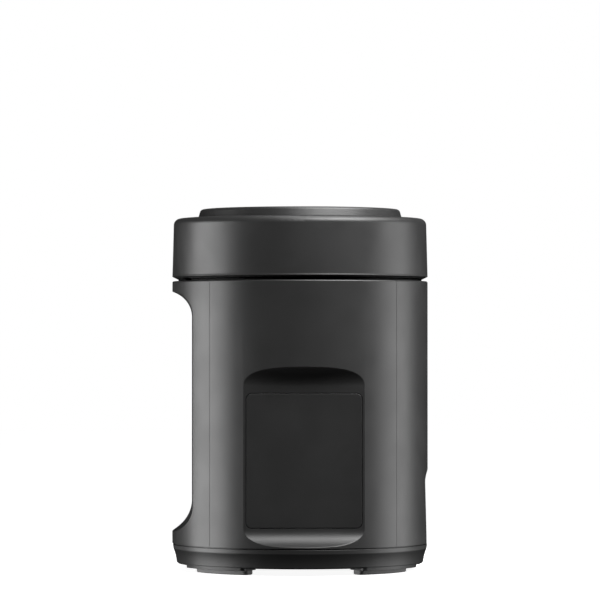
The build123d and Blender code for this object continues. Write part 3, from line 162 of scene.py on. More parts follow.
class Finish:
    """A procedural material, built node by node."""

    def __init__(self, name):
        self.material = bpy.data.materials.new(name)
        self.material.use_nodes = True
        self.tree = self.material.node_tree
        self.tree.nodes.clear()
        self.place = self.node("TexCoord", output="Object")

    def node(self, kind, settings=None, sockets=None, output=0):
        """Adds a node of a kind, sets its settings and then its sockets, and gives one of its outputs."""
        made = self.tree.nodes.new("ShaderNode" + kind)
        for key, value in (settings or {}).items():
            setattr(made, key, value)
        for key, value in (sockets or {}).items():
            if isinstance(value, Value):
                self.tree.links.new(value.socket, made.inputs[key])
            else:
                made.inputs[key].default_value = value
        return Value(self, made.outputs[output]) if made.outputs else None

    def stretched(self, scale):
        """Object coordinates scaled by a vector, for grain that runs one way."""
        return self.node("Mapping", {}, {"Vector": self.place, "Scale": scale})

    def above_floor(self):
        """Height above the floor."""
        return self.node("SeparateXYZ", {}, {0: self.place}, output="Z")

    def noise(self, scale, detail=3.0, roughness=0.55, place=None):
        """Cloudy noise from 0 to 1."""
        sockets = {"Vector": place or self.place, "Scale": scale}
        return self.node("TexNoise", {}, {**sockets, "Detail": detail, "Roughness": roughness})

    def cells(self, scale, feature="F1", place=None):
        """Distances in a pattern of random cells."""
        sockets = {"Vector": place or self.place, "Scale": scale}
        return self.node("TexVoronoi", {"feature": feature}, sockets)

    def spread(self, value, low, high, to_low=0.0, to_high=1.0):
        """A value's stretch from low to high, mapped to another range and held there."""
        sockets = {"Value": value, "From Min": low, "From Max": high, "To Min": to_low, "To Max": to_high}
        return self.node("MapRange", {}, sockets)

    def blend(self, factor, first, second):
        """Mix of two colours."""
        return self.node("Mix", {"data_type": "RGBA"}, {0: factor, 6: first, 7: second}, output=2)

    def soft_edge(self, width):
        """Normal with every sharp edge rounded by a width."""
        return self.node("Bevel", {"samples": 6}, {"Radius": width})

    def worn_edge(self, width, gain=2.2):
        """1 along sharp edges and 0 away from them, broken up by grain."""
        flat = self.node("NewGeometry", output="Normal")
        both = {0: self.soft_edge(width), 1: flat}
        agree = self.node("VectorMath", {"operation": "DOT_PRODUCT"}, both, output="Value")
        broken = self.spread(self.noise(420, 4), 0.35, 0.75, 0.25, 1.0)
        return ((1 - agree) * gain * broken).clamped()

    def crevice(self, reach, closed, open_sky):
        """Painted shade for crevices: 1 where only the closed share of the near sky shows, as deep in a
        groove, and 0 in the open.
        """
        openness = self.node("AmbientOcclusion", {"samples": 8}, {"Distance": reach}, output="AO")
        return self.spread(openness, closed, open_sky, 1.0, 0.0)

    def bump(self, height, depth, normal):
        """Normal roughened by a height value that is worth a depth."""
        sockets = {"Height": height, "Distance": depth, "Normal": normal, "Strength": 1.0}
        return self.node("Bump", {}, sockets)

    def done(self, shadow=None, **sockets):
        """Closes the finish with one principled surface, painted flat black as shade where a shadow value
        is 1.

        Socket names use _ for a space.
        """
        named = {key.replace("_", " "): value for key, value in sockets.items()}
        surface = self.node("BsdfPrincipled", {}, named)
        if shadow:
            # Painted shade: a flat black surface mixed in where the shadow value is high
            painted_shade = self.node("BsdfDiffuse", {}, {"Color": grey(0.002)})
            surface = self.node("MixShader", {}, {0: shadow, 1: surface, 2: painted_shade})
        self.node("OutputMaterial", {}, {"Surface": surface})
        return self.material


def grey(level, warm=0.0):
    """Opaque grey with a little warmth, as a linear colour."""
    return (level * (1 + warm), level, level * (1 - warm), 1.0)


def moulded(name, level, roughness, grain, depth, wear, gap=open_gap, skirt=False, flare=False):
    """Moulded plastic: even colour with a faint flow pattern, eroded grain and paler, smoother edges.

    A gap is the reach, closed share and open share of the painted shade in its crevices. A skirt gets
    painted shade under the base's lip, and a flare leans out at the lid's lower rim.
    """
    finish = Finish(name)
    flow = finish.noise(9, 2, 0.5)
    speckle = finish.noise(grain * 0.35, 2)
    rubbed = finish.worn_edge(0.6 * MM)
    tone = finish.blend(finish.spread(flow, 0.3, 0.7), grey(level * 0.93), grey(level * 1.07))
    tone = finish.blend(finish.spread(speckle, 0.55, 0.8, 0.0, 0.25), tone, grey(level * 1.35))
    tone = finish.blend(rubbed * wear, tone, grey(level * 2.4))
    smudge = finish.spread(finish.noise(26, 4, 0.6), 0.35, 0.7, -0.035, 0.035)
    polish = smudge + roughness - rubbed * 0.08
    height = finish.noise(grain, 3, 0.6) * 0.7 + finish.cells(grain * 0.6) * 0.3
    normal = finish.bump(height, depth, finish.soft_edge(0.35 * MM))
    if flare:
        swell = finish.spread(finish.above_floor(), flare_low, flare_low + flare_rise, 1.0, 0.0)
        normal = finish.bump(swell, flare_depth, normal)
    # Painted shade in crevices, from how little open sky each point sees
    shadow = finish.crevice(*gap)
    if skirt:
        # Painted shade on the skirt: deepest just under the base's lip, lighter towards the floor
        skirt_shade = finish.spread(finish.above_floor(), skirt_low, skirt_high, 0.25, 0.52)
        under_lip = finish.spread(finish.above_floor(), skirt_high, lip_low, 1.0, 0.0)
        shadow = (shadow + skirt_shade * under_lip).clamped()
    return finish.done(shadow, Base_Color=tone, Roughness=polish, Normal=normal)


def satin_charcoal():
    """Satin plastic of the body and the lid."""
    satin = {"level": 0.020, "roughness": 0.40, "grain": 2600, "depth": 0.012 * MM, "wear": 0.5}
    return moulded("satin_charcoal", **satin, flare=True)


def base_charcoal():
    """Satin plastic of the base, with painted shade below its lip."""
    base = {"level": 0.026, "roughness": 0.42, "grain": 2200, "depth": 0.016 * MM, "wear": 0.5}
    return moulded("base_charcoal", **base, gap=seam_gap, skirt=True)


def textured_black():
    """Fine-textured black plastic of the filter covers, with a line of painted shade all round."""
    cover = {"level": 0.010, "roughness": 0.52, "grain": 1700, "depth": 0.03 * MM, "wear": 0.05}
    return moulded("textured_black", **cover, gap=cover_gap)


def inner_grey():
    """Plain plastic of the pieces inside."""
    inside = {"level": 0.022, "roughness": 0.5, "grain": 1500, "depth": 0.03 * MM, "wear": 0.35}
    return moulded("inner_grey", **inside)


def button_gloss():
    """Glossy button face with fine finger marks."""
    finish = Finish("button_gloss")
    rubbed = finish.worn_edge(0.5 * MM)
    marks = finish.noise(1, 5, 0.65, finish.stretched((160, 420, 160)))
    tone = finish.blend(finish.noise(30, 3), grey(0.03), grey(0.036))
    tone = finish.blend(rubbed * 0.4, tone, grey(0.08))
    polish = finish.spread(marks, 0.4, 0.75, 0.16, 0.3)
    normal = finish.bump(finish.noise(900, 2), 0.004 * MM, finish.soft_edge(0.4 * MM))
    return finish.done(Base_Color=tone, Roughness=polish, Normal=normal, Coat_Weight=0.3)


def frosted_lens():
    """Milky light pipe with a faint glow."""
    finish = Finish("frosted_lens")
    haze = finish.noise(1300, 3)
    tone = finish.blend(haze, grey(0.55, -0.02), grey(0.72, -0.02))
    glow = finish.blend(haze, grey(0.5, -0.06), grey(0.8, -0.06))
    polish = finish.spread(haze, 0.3, 0.7, 0.3, 0.5)
    normal = finish.bump(haze, 0.01 * MM, finish.soft_edge(0.2 * MM))
    return finish.done(
        Base_Color=tone, Roughness=polish, Normal=normal, Emission_Color=glow, Emission_Strength=0.25
    )


def foot_rubber():
    """Grey rubber with scuffed, dusty patches."""
    finish = Finish("foot_rubber")
    dust = finish.spread(finish.noise(120, 5, 0.65), 0.45, 0.75)
    rubbed = finish.worn_edge(0.8 * MM)
    tone = finish.blend(dust * 0.6, grey(0.16), grey(0.22, 0.02))
    tone = finish.blend(rubbed * 0.4, tone, grey(0.3, 0.02))
    height = finish.noise(1100, 4, 0.6) + finish.cells(700) * 0.5
    normal = finish.bump(height, 0.05 * MM, finish.soft_edge(0.4 * MM))
    polish = finish.spread(dust, 0.0, 1.0, 0.62, 0.8)
    return finish.done(Base_Color=tone, Roughness=polish, Normal=normal)


def seal_silicone():
    """Grey food-safe silicone with a soft bloom."""
    finish = Finish("seal_silicone")
    bloom = finish.noise(60, 4, 0.6)
    tone = finish.blend(finish.spread(bloom, 0.35, 0.7), grey(0.13), grey(0.17))
    polish = finish.spread(bloom, 0.3, 0.7, 0.42, 0.58)
    normal = finish.bump(finish.noise(1500, 3), 0.015 * MM, finish.soft_edge(0.25 * MM))
    return finish.done(
        Base_Color=tone,
        Roughness=polish,
        Normal=normal,
        Subsurface_Weight=0.08,
        Subsurface_Radius=(2 * MM, 2 * MM, 2 * MM),
        Subsurface_Scale=1.0,
        Sheen_Weight=0.15,
    )


def metal(name, level, roughness, grain, depth):
    """Bare metal with directional marks, a little warm tarnish in patches and brighter edges."""
    finish = Finish(name)
    lines = finish.noise(1, 4, 0.7, finish.stretched(grain))
    tarnish = finish.spread(finish.noise(55, 4, 0.6), 0.45, 0.8)
    rubbed = finish.worn_edge(0.4 * MM)
    tone = finish.blend(lines, grey(level * 0.85), grey(level * 1.1))
    tone = finish.blend(tarnish * 0.35, tone, grey(level * 0.55, 0.03))
    tone = finish.blend(rubbed * 0.6, tone, grey(min(level * 1.4, 0.9)))
    polish = finish.spread(lines, 0.25, 0.75, roughness - 0.08, roughness + 0.1) + tarnish * 0.1
    normal = finish.bump(lines, depth, finish.soft_edge(0.2 * MM))
    return finish.done(Base_Color=tone, Roughness=polish, Normal=normal, Metallic=1.0)


def brushed_steel():
    """Steel of screws, pins and frames."""
    return metal("brushed_steel", level=0.52, roughness=0.3, grain=(120, 120, 3200), depth=0.006 * MM)


def machined_steel():
    """Cut steel of gears and shafts."""
    return metal("machined_steel", level=0.42, roughness=0.34, grain=(260, 260, 2600), depth=0.01 * MM)


def plated_magnet():
    """Bright nickel plate."""
    return metal("plated_magnet", level=0.62, roughness=0.2, grain=(300, 300, 300), depth=0.003 * MM)


def spun_aluminium():
    """Aluminium with the rings of its spinning."""
    return metal("spun_aluminium", level=0.6, roughness=0.36, grain=(60, 60, 2400), depth=0.012 * MM)


def sintered_bronze():
    """Porous oil-filled bearing bronze."""
    finish = Finish("sintered_bronze")
    pores = finish.cells(1900)
    oil = finish.spread(finish.noise(90, 4), 0.4, 0.75)
    tone = finish.blend(finish.spread(pores, 0.1, 0.5), (0.2, 0.11, 0.045, 1), (0.48, 0.29, 0.12, 1))
    tone = finish.blend(oil * 0.5, tone, (0.16, 0.09, 0.04, 1))
    polish = finish.spread(oil, 0.0, 1.0, 0.48, 0.28)
    normal = finish.bump(pores, 0.03 * MM, finish.soft_edge(0.25 * MM))
    return finish.done(Base_Color=tone, Roughness=polish, Normal=normal, Metallic=1.0)


def hinge_paint():
    """Black powder coat, orange-peel textured, with metal showing at rubbed edges."""
    finish = Finish("hinge_paint")
    peel = finish.noise(650, 3, 0.5)
    bare = finish.spread(finish.worn_edge(0.4 * MM), 0.55, 0.9)
    tone = finish.blend(finish.noise(35, 3), grey(0.018), grey(0.024))
    tone = finish.blend(bare, tone, grey(0.4))
    polish = finish.spread(peel, 0.3, 0.7, 0.36, 0.5)
    normal = finish.bump(peel, 0.04 * MM, finish.soft_edge(0.35 * MM))
    return finish.done(Base_Color=tone, Roughness=polish, Normal=normal, Metallic=bare)


def nonstick(name, level, gleam):
    """Dark cast coat with pale stone flecks, scuffed where the load rubs it."""
    finish = Finish(name)
    flecks = finish.spread(finish.cells(620), 0.06, 0.16, 1.0, 0.0)
    seldom = finish.spread(finish.noise(380, 2), 0.52, 0.6)
    scuffs = finish.spread(finish.noise(1, 5, 0.7, finish.stretched((70, 70, 900))), 0.58, 0.78)
    rubbed = finish.worn_edge(0.5 * MM)
    tone = finish.blend(finish.noise(24, 3), grey(level * 0.85), grey(level * 1.15))
    tone = finish.blend(flecks * seldom, tone, grey(0.3, 0.02))
    tone = finish.blend(scuffs * 0.3, tone, grey(level * 2.4))
    tone = finish.blend(rubbed * 0.5, tone, grey(0.2))
    polish = scuffs * 0.12 + gleam + finish.noise(200, 3) * 0.1
    height = finish.noise(480, 4, 0.6) + flecks * 0.3
    normal = finish.bump(height, 0.03 * MM, finish.soft_edge(0.35 * MM))
    return finish.done(Base_Color=tone, Roughness=polish, Normal=normal, Coat_Weight=0.15)


def bucket_coat():
    """Coat of the bucket."""
    return nonstick("bucket_coat", level=0.045, gleam=0.34)


def paddle_coat():
    """Coat of the paddle, a little paler."""
    return nonstick("paddle_coat", level=0.06, gleam=0.38)


def mica_sheet():
    """Layered mica: pale flakes with a pearly sheen."""
    finish = Finish("mica_sheet")
    flakes = finish.cells(240, place=finish.stretched((1, 1, 5)))
    grain = finish.noise(500, 4)
    tone = finish.blend(finish.spread(flakes, 0.0, 0.6), (0.42, 0.37, 0.27, 1), (0.62, 0.57, 0.45, 1))
    tone = finish.blend(finish.spread(grain, 0.4, 0.7, 0.0, 0.4), tone, (0.3, 0.25, 0.17, 1))
    polish = finish.spread(flakes, 0.0, 0.6, 0.3, 0.55)
    normal = finish.bump(flakes, 0.05 * MM, finish.soft_edge(0.3 * MM))
    return finish.done(Base_Color=tone, Roughness=polish, Normal=normal, Sheen_Weight=0.2)


def circuit_lacquer():
    """Green solder mask with copper tracks showing through as paler lines."""
    finish = Finish("circuit_lacquer")
    grid = finish.cells(260, "DISTANCE_TO_EDGE")
    tracks = finish.spread(grid, 0.03, 0.06, 1.0, 0.0)
    tone = finish.blend(finish.noise(70, 3), (0.008, 0.055, 0.022, 1), (0.012, 0.075, 0.03, 1))
    tone = finish.blend(tracks * 0.6, tone, (0.03, 0.15, 0.06, 1))
    polish = finish.spread(finish.noise(300, 3), 0.3, 0.7, 0.25, 0.4)
    normal = finish.bump(tracks, 0.03 * MM, finish.soft_edge(0.2 * MM))
    return finish.done(Base_Color=tone, Roughness=polish, Normal=normal, Coat_Weight=0.2)


def carbon_fleece():
    """Black fibre fleece filled with carbon granules."""
    finish = Finish("carbon_fleece")
    granules = finish.cells(520)
    fibres = finish.noise(1, 5, 0.75, finish.stretched((2600, 300, 900)))
    tone = finish.blend(finish.spread(granules, 0.1, 0.6), grey(0.022), grey(0.008))
    tone = finish.blend(finish.spread(fibres, 0.55, 0.75, 0.0, 0.5), tone, grey(0.05))
    polish = finish.spread(fibres, 0.3, 0.7, 0.8, 0.95)
    normal = finish.bump(granules * -0.7 + fibres * 0.3, 0.25 * MM, finish.soft_edge(0.4 * MM))
    return finish.done(Base_Color=tone, Roughness=polish, Normal=normal, Sheen_Weight=0.25)


finishes = {
    "charcoal_plastic": satin_charcoal(),
    "base_plastic": base_charcoal(),
    "black_plastic": textured_black(),
    "inner_plastic": inner_grey(),
    "button_plastic": button_gloss(),
    "lens": frosted_lens(),
    "rubber": foot_rubber(),
    "silicone": seal_silicone(),
    "steel": brushed_steel(),
    "gear_steel": machined_steel(),
    "hinge_metal": hinge_paint(),
    "well_metal": spun_aluminium(),
    "bucket_coating": bucket_coat(),
    "paddle_coating": paddle_coat(),
    "bronze": sintered_bronze(),
    "mica": mica_sheet(),
    "circuit": circuit_lacquer(),
    "magnet": plated_magnet(),
    "carbon": carbon_fleece(),
}


def dress_nodes():
    """Gives every solid of the part the finish of its material slot."""
    for row in frame["record"]["subparts"]:
        solid = frame["nodes"][row["node"]]
        solid.data.materials.clear()
        solid.data.materials.append(finishes[row["material_slot"]])


def place_piece(name, mesh, body):
    """A finished mesh as a piece that rides on a body."""
    piece = bpy.data.objects.new(name, mesh)
    bpy.context.collection.objects.link(piece)
    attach(piece, body)
    return piece


class Growth:
    """A geometry tree with named sizes, grown once into a plain mesh."""

    def __init__(self, name, sizes):
        self.name = name
        self.sizes = sizes
        self.tree = bpy.data.node_groups.new(name, "GeometryNodeTree")
        self.tree.interface.new_socket("Geometry", in_out="OUTPUT", socket_type="NodeSocketGeometry")
        self.sockets = {}
        for key, value in sizes.items():
            kind = "NodeSocketInt" if isinstance(value, int) else "NodeSocketFloat"
            self.sockets[key] = self.tree.interface.new_socket(key, in_out="INPUT", socket_type=kind)
        self.inputs = self.tree.nodes.new("NodeGroupInput").outputs

    def node(self, kind, settings=None, sockets=None, output=0):
        """Adds a node of a kind, sets its settings and then its sockets, and gives one of its outputs."""
        made = self.tree.nodes.new(kind)
        for key, value in (settings or {}).items():
            setattr(made, key, value)
        for key, value in (sockets or {}).items():
            if isinstance(value, bpy.types.NodeSocket):
                self.tree.links.new(value, made.inputs[key])
            else:
                made.inputs[key].default_value = value
        return made.outputs[output]

    def maths(self, operation, first, second):
        return self.node("ShaderNodeMath", {"operation": operation}, {0: first, 1: second})

    def vector(self, x, y, z):
        return self.node("ShaderNodeCombineXYZ", {}, {0: x, 1: y, 2: z})

    def grow(self, geometry, finish):
        """Ends the tree, runs it on an empty object and gives the result as a mesh."""
        whole = self.node("GeometryNodeRealizeInstances", {}, {"Geometry": geometry})
        painted = self.node("GeometryNodeSetMaterial", {}, {"Geometry": whole, "Material": finish})
        closing = self.tree.nodes.new("NodeGroupOutput")
        self.tree.links.new(painted, closing.inputs[0])
        seed = bpy.data.objects.new(self.name, bpy.data.meshes.new(self.name))
        bpy.context.collection.objects.link(seed)
        modifier = seed.modifiers.new(self.name, "NODES")
        modifier.node_group = self.tree
        for key, value in self.sizes.items():
            modifier[self.sockets[key].identifier] = value
        graph = bpy.context.evaluated_depsgraph_get()
        mesh = bpy.data.meshes.new_from_object(seed.evaluated_get(graph), depsgraph=graph)
        bpy.data.objects.remove(seed)
        return mesh


def parting_lines():
    """Fine vertical beads where the four mould slides of the body shell met."""
    growth = Growth(
        "parting_lines",
        {
            "Length": 2 * parting_radius * cos(radians(parting_angle)),
            "Width": 2 * parting_radius * sin(radians(parting_angle)),
            "Low": body_low,
            "High": body_high,
            "Bead": parting_bead,
        },
    )
    sizes = growth.inputs
    foot = growth.vector(0, 0, sizes["Low"])
    head = growth.vector(0, 0, sizes["High"])
    line = growth.node("GeometryNodeCurvePrimitiveLine", {}, {"Start": foot, "End": head})
    round_profile = {"Radius": sizes["Bead"], "Resolution": parting_sides}
    section = growth.node("GeometryNodeCurvePrimitiveCircle", {}, round_profile)
    swept = {"Curve": line, "Profile Curve": section, "Fill Caps": True}
    bead = growth.node("GeometryNodeCurveToMesh", {}, swept)
    corners = {"Size X": sizes["Length"], "Size Y": sizes["Width"], "Vertices X": 2, "Vertices Y": 2}
    grid = growth.node("GeometryNodeMeshGrid", {}, corners)
    beads = growth.node("GeometryNodeInstanceOnPoints", {}, {"Points": grid, "Instance": bead})
    return growth.grow(beads, finishes["charcoal_plastic"])


def wall_radius(level):
    """Inside radius of the tapered bucket at a level."""
    share = (level - bucket_floor_level) / (bucket_mouth_level - bucket_floor_level)
    return bucket_floor_radius + share * (bucket_mouth_radius - bucket_floor_radius)


def fill_marks(level):
    """Ring of short raised dashes inside the bucket at one filling level."""
    growth = Growth(
        "fill_marks",
        {
            "Radius": wall_radius(level),
            "Level": level,
            "Length": fill_mark_length,
            "Bead": fill_mark_bead,
            "Dashes": fill_mark_count,
        },
    )
    sizes = growth.inputs
    half = growth.maths("MULTIPLY", sizes["Length"], 0.5)
    back = growth.vector(0, growth.maths("MULTIPLY", half, -1), 0)
    ahead = growth.vector(0, half, 0)
    line = growth.node("GeometryNodeCurvePrimitiveLine", {}, {"Start": back, "End": ahead})
    fine = growth.node("GeometryNodeResampleCurve", {}, {"Curve": line, "Count": fill_mark_points})
    along = growth.node("GeometryNodeSplineParameter")
    arch = growth.maths("SINE", growth.maths("MULTIPLY", along, pi), 0)
    swell = growth.maths("POWER", arch, fill_mark_fullness)
    round_profile = {"Radius": sizes["Bead"], "Resolution": fill_mark_sides}
    section = growth.node("GeometryNodeCurvePrimitiveCircle", {}, round_profile)
    swept = {"Curve": fine, "Profile Curve": section, "Scale": swell, "Fill Caps": True}
    dash = growth.node("GeometryNodeCurveToMesh", {}, swept)
    places = {"Vertices": sizes["Dashes"], "Radius": sizes["Radius"]}
    ring = growth.node("GeometryNodeMeshCircle", {}, places)
    lift = growth.vector(0, 0, sizes["Level"])
    lifted = growth.node("GeometryNodeTransform", {}, {"Geometry": ring, "Translation": lift})
    outwards = growth.node("GeometryNodeInputPosition")
    flat = growth.node("ShaderNodeVectorMath", {"operation": "MULTIPLY"}, {0: outwards, 1: (1, 1, 0)})
    facing = growth.node("FunctionNodeAlignRotationToVector", {"axis": "X"}, {"Vector": flat})
    placed = {"Points": lifted, "Instance": dash, "Rotation": facing}
    dashes = growth.node("GeometryNodeInstanceOnPoints", {}, placed)
    return growth.grow(dashes, finishes["bucket_coating"])


def grip_sleeve():
    """Ribbed soft sleeve around the middle of the bucket's handle."""
    growth = Growth(
        "grip_sleeve",
        {
            "Bail Radius": bail_radius,
            "Half Angle": radians(sleeve_half_angle),
            "Sleeve Radius": sleeve_radius,
            "Rib": sleeve_rib,
            "Ribs": sleeve_rib_count,
            "Level": bail_level,
        },
    )
    sizes = growth.inputs
    start = growth.maths("MULTIPLY", sizes["Half Angle"], -1)
    sweep = growth.maths("MULTIPLY", sizes["Half Angle"], 2)
    bail = {"Radius": sizes["Bail Radius"], "Start Angle": start, "Sweep Angle": sweep}
    path = growth.node("GeometryNodeCurveArc", {}, {"Resolution": sleeve_points, **bail})
    along = growth.node("GeometryNodeSplineParameter")
    turns = growth.maths("MULTIPLY", growth.maths("MULTIPLY", along, sizes["Ribs"]), 2 * pi)
    wave = growth.maths("MULTIPLY", growth.maths("COSINE", turns, 0), -0.5)
    ribbed = growth.maths("MULTIPLY", growth.maths("ADD", wave, 0.5), sizes["Rib"])
    girth = growth.maths("ADD", sizes["Sleeve Radius"], ribbed)
    round_profile = {"Radius": 1.0, "Resolution": sleeve_sides}
    section = growth.node("GeometryNodeCurvePrimitiveCircle", {}, round_profile)
    swept = {"Curve": path, "Profile Curve": section, "Scale": girth, "Fill Caps": True}
    tube = growth.node("GeometryNodeCurveToMesh", {}, swept)
    lift = growth.vector(0, 0, sizes["Level"])
    lifted = growth.node("GeometryNodeTransform", {}, {"Geometry": tube, "Translation": lift})
    return growth.grow(lifted, finishes["silicone"])


def smooth(mesh):
    """The mesh, shaded smooth."""
    for face in mesh.polygons:
        face.use_smooth = True
    return mesh


def closed_mesh(name, shape, finish):
    """A closed shape as a mesh with its faces turned outwards and one finish."""
    bmesh.ops.recalc_face_normals(shape, faces=shape.faces)
    mesh = bpy.data.meshes.new(name)
    shape.to_mesh(mesh)
    shape.free()
    mesh.materials.append(finish)
    return mesh


def spun_ring(name, outline, segments, finish):
    """Closed ring made by turning an outline of (radius, level) points about the vertical axis."""
    shape = bmesh.new()
    corners = [shape.verts.new((radius, 0, level)) for radius, level in outline]
    edges = [shape.edges.new((corner, corners[number - 1])) for number, corner in enumerate(corners)]
    turn = {"cent": (0, 0, 0), "axis": (0, 0, 1), "angle": 2 * pi, "steps": segments}
    bmesh.ops.spin(shape, geom=corners + edges, **turn)
    bmesh.ops.remove_doubles(shape, verts=shape.verts, dist=weld_distance)
    return closed_mesh(name, shape, finish)


def lid_seal():
    """Gasket ring with a flat web and two rounded lips that meet the collar's rim."""
    web = seal_top - seal_web
    width = seal_outer - seal_inner
    lip_half = width / 4
    outline = [(seal_inner, seal_top), (seal_inner, web)]
    for number in range(2):
        middle = seal_inner + lip_half * (1 + 2 * number)
        for step in range(seal_lip_steps + 1):
            angle = pi * step / seal_lip_steps
            radius = middle - lip_half * cos(angle) * seal_lip_share
            outline.append((radius, web - seal_lip * sin(angle)))
    outline += [(seal_outer, web), (seal_outer, seal_top)]
    return spun_ring("lid_seal", outline, seal_segments, finishes["silicone"])


def inlet_pins():
    """Three flat contact blades with chamfered noses at the back of the power socket."""
    shape = bmesh.new()
    for across, up in inlet_pin_places:
        size = Matrix.Diagonal((inlet_pin_length, inlet_pin_width, inlet_pin_height, 1))
        centre = Vector((inlet_pin_root - inlet_pin_length / 2, across, inlet_level + up))
        blade = bmesh.ops.create_cube(shape, size=1.0, matrix=Matrix.Translation(centre) @ size)["verts"]
        nose = [vertex for vertex in blade if vertex.co.x < centre.x]
        edges = [edge for edge in shape.edges if all(vertex in nose for vertex in edge.verts)]
        rounding = {"offset": inlet_pin_nose, "segments": inlet_nose_segments, "profile": 0.5}
        bmesh.ops.bevel(shape, geom=edges, affect="EDGES", clamp_overlap=True, **rounding)
    return closed_mesh("inlet_pins", shape, finishes["steel"])


def quilt_swell(place, cells):
    """Fullness of a quilted row at a place from -1 to 1: 0 on its sewn lines and 1 between them."""
    return abs(sin(pi * cells * (place + 1) / 2)) ** pouch_fullness


def carbon_pouch(name, node):
    """Quilted fleece pouch in the place of a carbon pad, drawn in along its sewn lines."""
    gap = Vector((pouch_gap, pouch_gap, pouch_gap))
    low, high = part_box(node)
    low = low + gap
    high = high - gap
    middle = (low + high) / 2
    half = (high - low) / 2
    shape = bmesh.new()
    bmesh.ops.create_cube(shape, size=2.0)
    bmesh.ops.subdivide_edges(shape, edges=shape.edges[:], cuts=pouch_cuts, use_grid_fill=True)
    for vertex in shape.verts:
        across, deep, up = vertex.co
        swell = quilt_swell(across, pouch_cells_across) * quilt_swell(up, pouch_cells_up)
        rim = min(1.0, pouch_rim_slope * (1 - abs(across)), pouch_rim_slope * (1 - abs(up)))
        sunk = pouch_swell * (1 - swell * rim) * abs(deep)
        corner = 1 - pouch_corner_draw * (across * up) ** 2
        reach = Vector((half.x * across * corner, (half.y - sunk) * deep, half.z * up * corner))
        vertex.co = middle + reach
    return closed_mesh(name, shape, finishes["carbon"])


def add_details():
    """Places the scene's own pieces on the bodies that carry them."""
    place_piece("parting_lines", smooth(parting_lines()), "body")
    place_piece("inlet_pins", inlet_pins(), "body")
    for number, level in enumerate(fill_mark_levels):
        place_piece(f"fill_marks_{number + 1}", smooth(fill_marks(level)), "body")
    place_piece("grip_sleeve", smooth(grip_sleeve()), "handle_body")
    seal = place_piece("lid_seal", smooth(lid_seal()), "lid")
    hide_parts("lid_gasket")
    for side in ("left", "right"):
        node = f"{side}_carbon_pad"
        name = f"{side}_carbon_pouch"
        pouch = place_piece(name, smooth(carbon_pouch(name, node)), f"{side}_filter")
        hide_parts(node)


# Studio, in metres, degrees and watts. Azimuth 0 is the photograph's side and turns to the right.
floor_half = 6.0
floor_near = 0.2
floor_far = 0.7
camera_distance = 3.84
camera_azimuth = -2.0
camera_level = 0.226
camera_aim = 0.269
lens_length = 230.5
sensor_side = 36.0
light_aim = 0.2
softbox_distance = 1.6
softbox_height = 1.4
softbox_level = -0.02
left_azimuth = -90
left_width = 1.2
left_power = 33
right_azimuth = 91
right_width = 1.0
right_power = 17
high_distance = 2.0
key_azimuth = 46
key_elevation = 48
key_size = (1.5, 1.3)
key_power = 62
front_azimuth = 12
front_elevation = 48
front_size = (1.0, 1.0)
front_power = 18
overhead_place = Vector((0.75, -0.1, 2.1))
overhead_size = (1.7, 2.4)
overhead_power = 46


def studio_floor():
    """Pale floor that fades to the white surround and neither lights nor shades the object."""
    finish = Finish("pale_floor")
    away = finish.node("VectorMath", {"operation": "LENGTH"}, {0: finish.place}, output="Value")
    fade = finish.spread(away, floor_near, floor_far)
    tone = finish.blend(finish.noise(3, 3), grey(0.5), grey(0.52))
    tone = finish.blend(fade, tone, grey(0.0))
    glow = finish.blend(fade, grey(0.92), grey(1.0))
    material = finish.done(Base_Color=tone, Roughness=0.9, Emission_Color=glow, Emission_Strength=1.0)
    mesh = bpy.data.meshes.new("studio_floor")
    corners = [(x * floor_half, y * floor_half, 0) for x, y in ((-1, -1), (1, -1), (1, 1), (-1, 1))]
    mesh.from_pydata(corners, [], [(0, 1, 2, 3)])
    mesh.materials.append(material)
    floor = bpy.data.objects.new("studio_floor", mesh)
    bpy.context.collection.objects.link(floor)
    floor.visible_diffuse = False
    floor.visible_glossy = False
    floor.visible_shadow = False


def around(distance, azimuth, level):
    """A place at a distance from the object's axis, an azimuth and a level."""
    turn = radians(azimuth)
    return Vector((distance * sin(turn), -distance * cos(turn), level))


def turned_to(place, level):
    """Turn of a lamp or a camera at a place that faces the object's axis at a level."""
    return (Vector((0, 0, level)) - place).to_track_quat("-Z", "Y").to_euler()


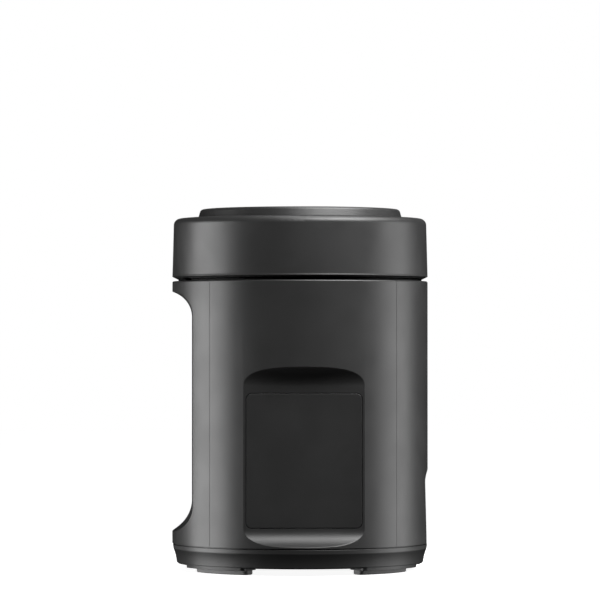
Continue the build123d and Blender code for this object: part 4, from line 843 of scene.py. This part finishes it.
def area_light(name, place, size, power):
    """Rectangular studio light that faces the object and that the camera doesn't see."""
    light = bpy.data.lights.new(name, "AREA")
    light.shape = "RECTANGLE"
    light.size, light.size_y = size
    light.energy = power
    lamp = bpy.data.objects.new(name, light)
    lamp.location = place
    lamp.rotation_euler = turned_to(place, light_aim)
    lamp.visible_camera = False
    bpy.context.collection.objects.link(lamp)


def softbox(name, azimuth, width, power):
    """Upright softbox beside the object."""
    place = around(softbox_distance, azimuth, softbox_level)
    area_light(name, place, (width, softbox_height), power)


def high_box(name, azimuth, elevation, size, power):
    """Box above the camera's level, at an elevation seen from the object."""
    rise = radians(elevation)
    place = around(high_distance * cos(rise), azimuth, light_aim + high_distance * sin(rise))
    area_light(name, place, size, power)


def white_surround():
    """White background that only the camera sees; the lights light the object."""
    world = bpy.data.worlds.new("white_surround")
    world.use_nodes = True
    background = world.node_tree.nodes["Background"]
    background.inputs["Color"].default_value = (1, 1, 1, 1)
    background.inputs["Strength"].default_value = 1.0
    world.cycles_visibility.diffuse = False
    world.cycles_visibility.glossy = False
    world.cycles_visibility.transmission = False
    world.cycles_visibility.scatter = False
    bpy.context.scene.world = world


def camera():
    """Long lens at the photograph's height, a little to the rear of the left side."""
    place = around(camera_distance, camera_azimuth, camera_level)
    data = bpy.data.cameras.new("long_lens")
    data.lens = lens_length
    data.sensor_width = sensor_side
    eye = bpy.data.objects.new("long_lens", data)
    eye.location = place
    eye.rotation_euler = turned_to(place, camera_aim)
    bpy.context.collection.objects.link(eye)
    bpy.context.scene.camera = eye


def studio():
    """Floor, surround, lights and camera."""
    studio_floor()
    white_surround()
    softbox("left_softbox", left_azimuth, left_width, left_power)
    softbox("right_softbox", right_azimuth, right_width, right_power)
    high_box("key_light", key_azimuth, key_elevation, key_size, key_power)
    high_box("front_light", front_azimuth, front_elevation, front_size, front_power)
    area_light("overhead", overhead_place, overhead_size, overhead_power)
    camera()
    bpy.context.scene.view_settings.view_transform = "Standard"


dress_nodes()
add_details()
studio()
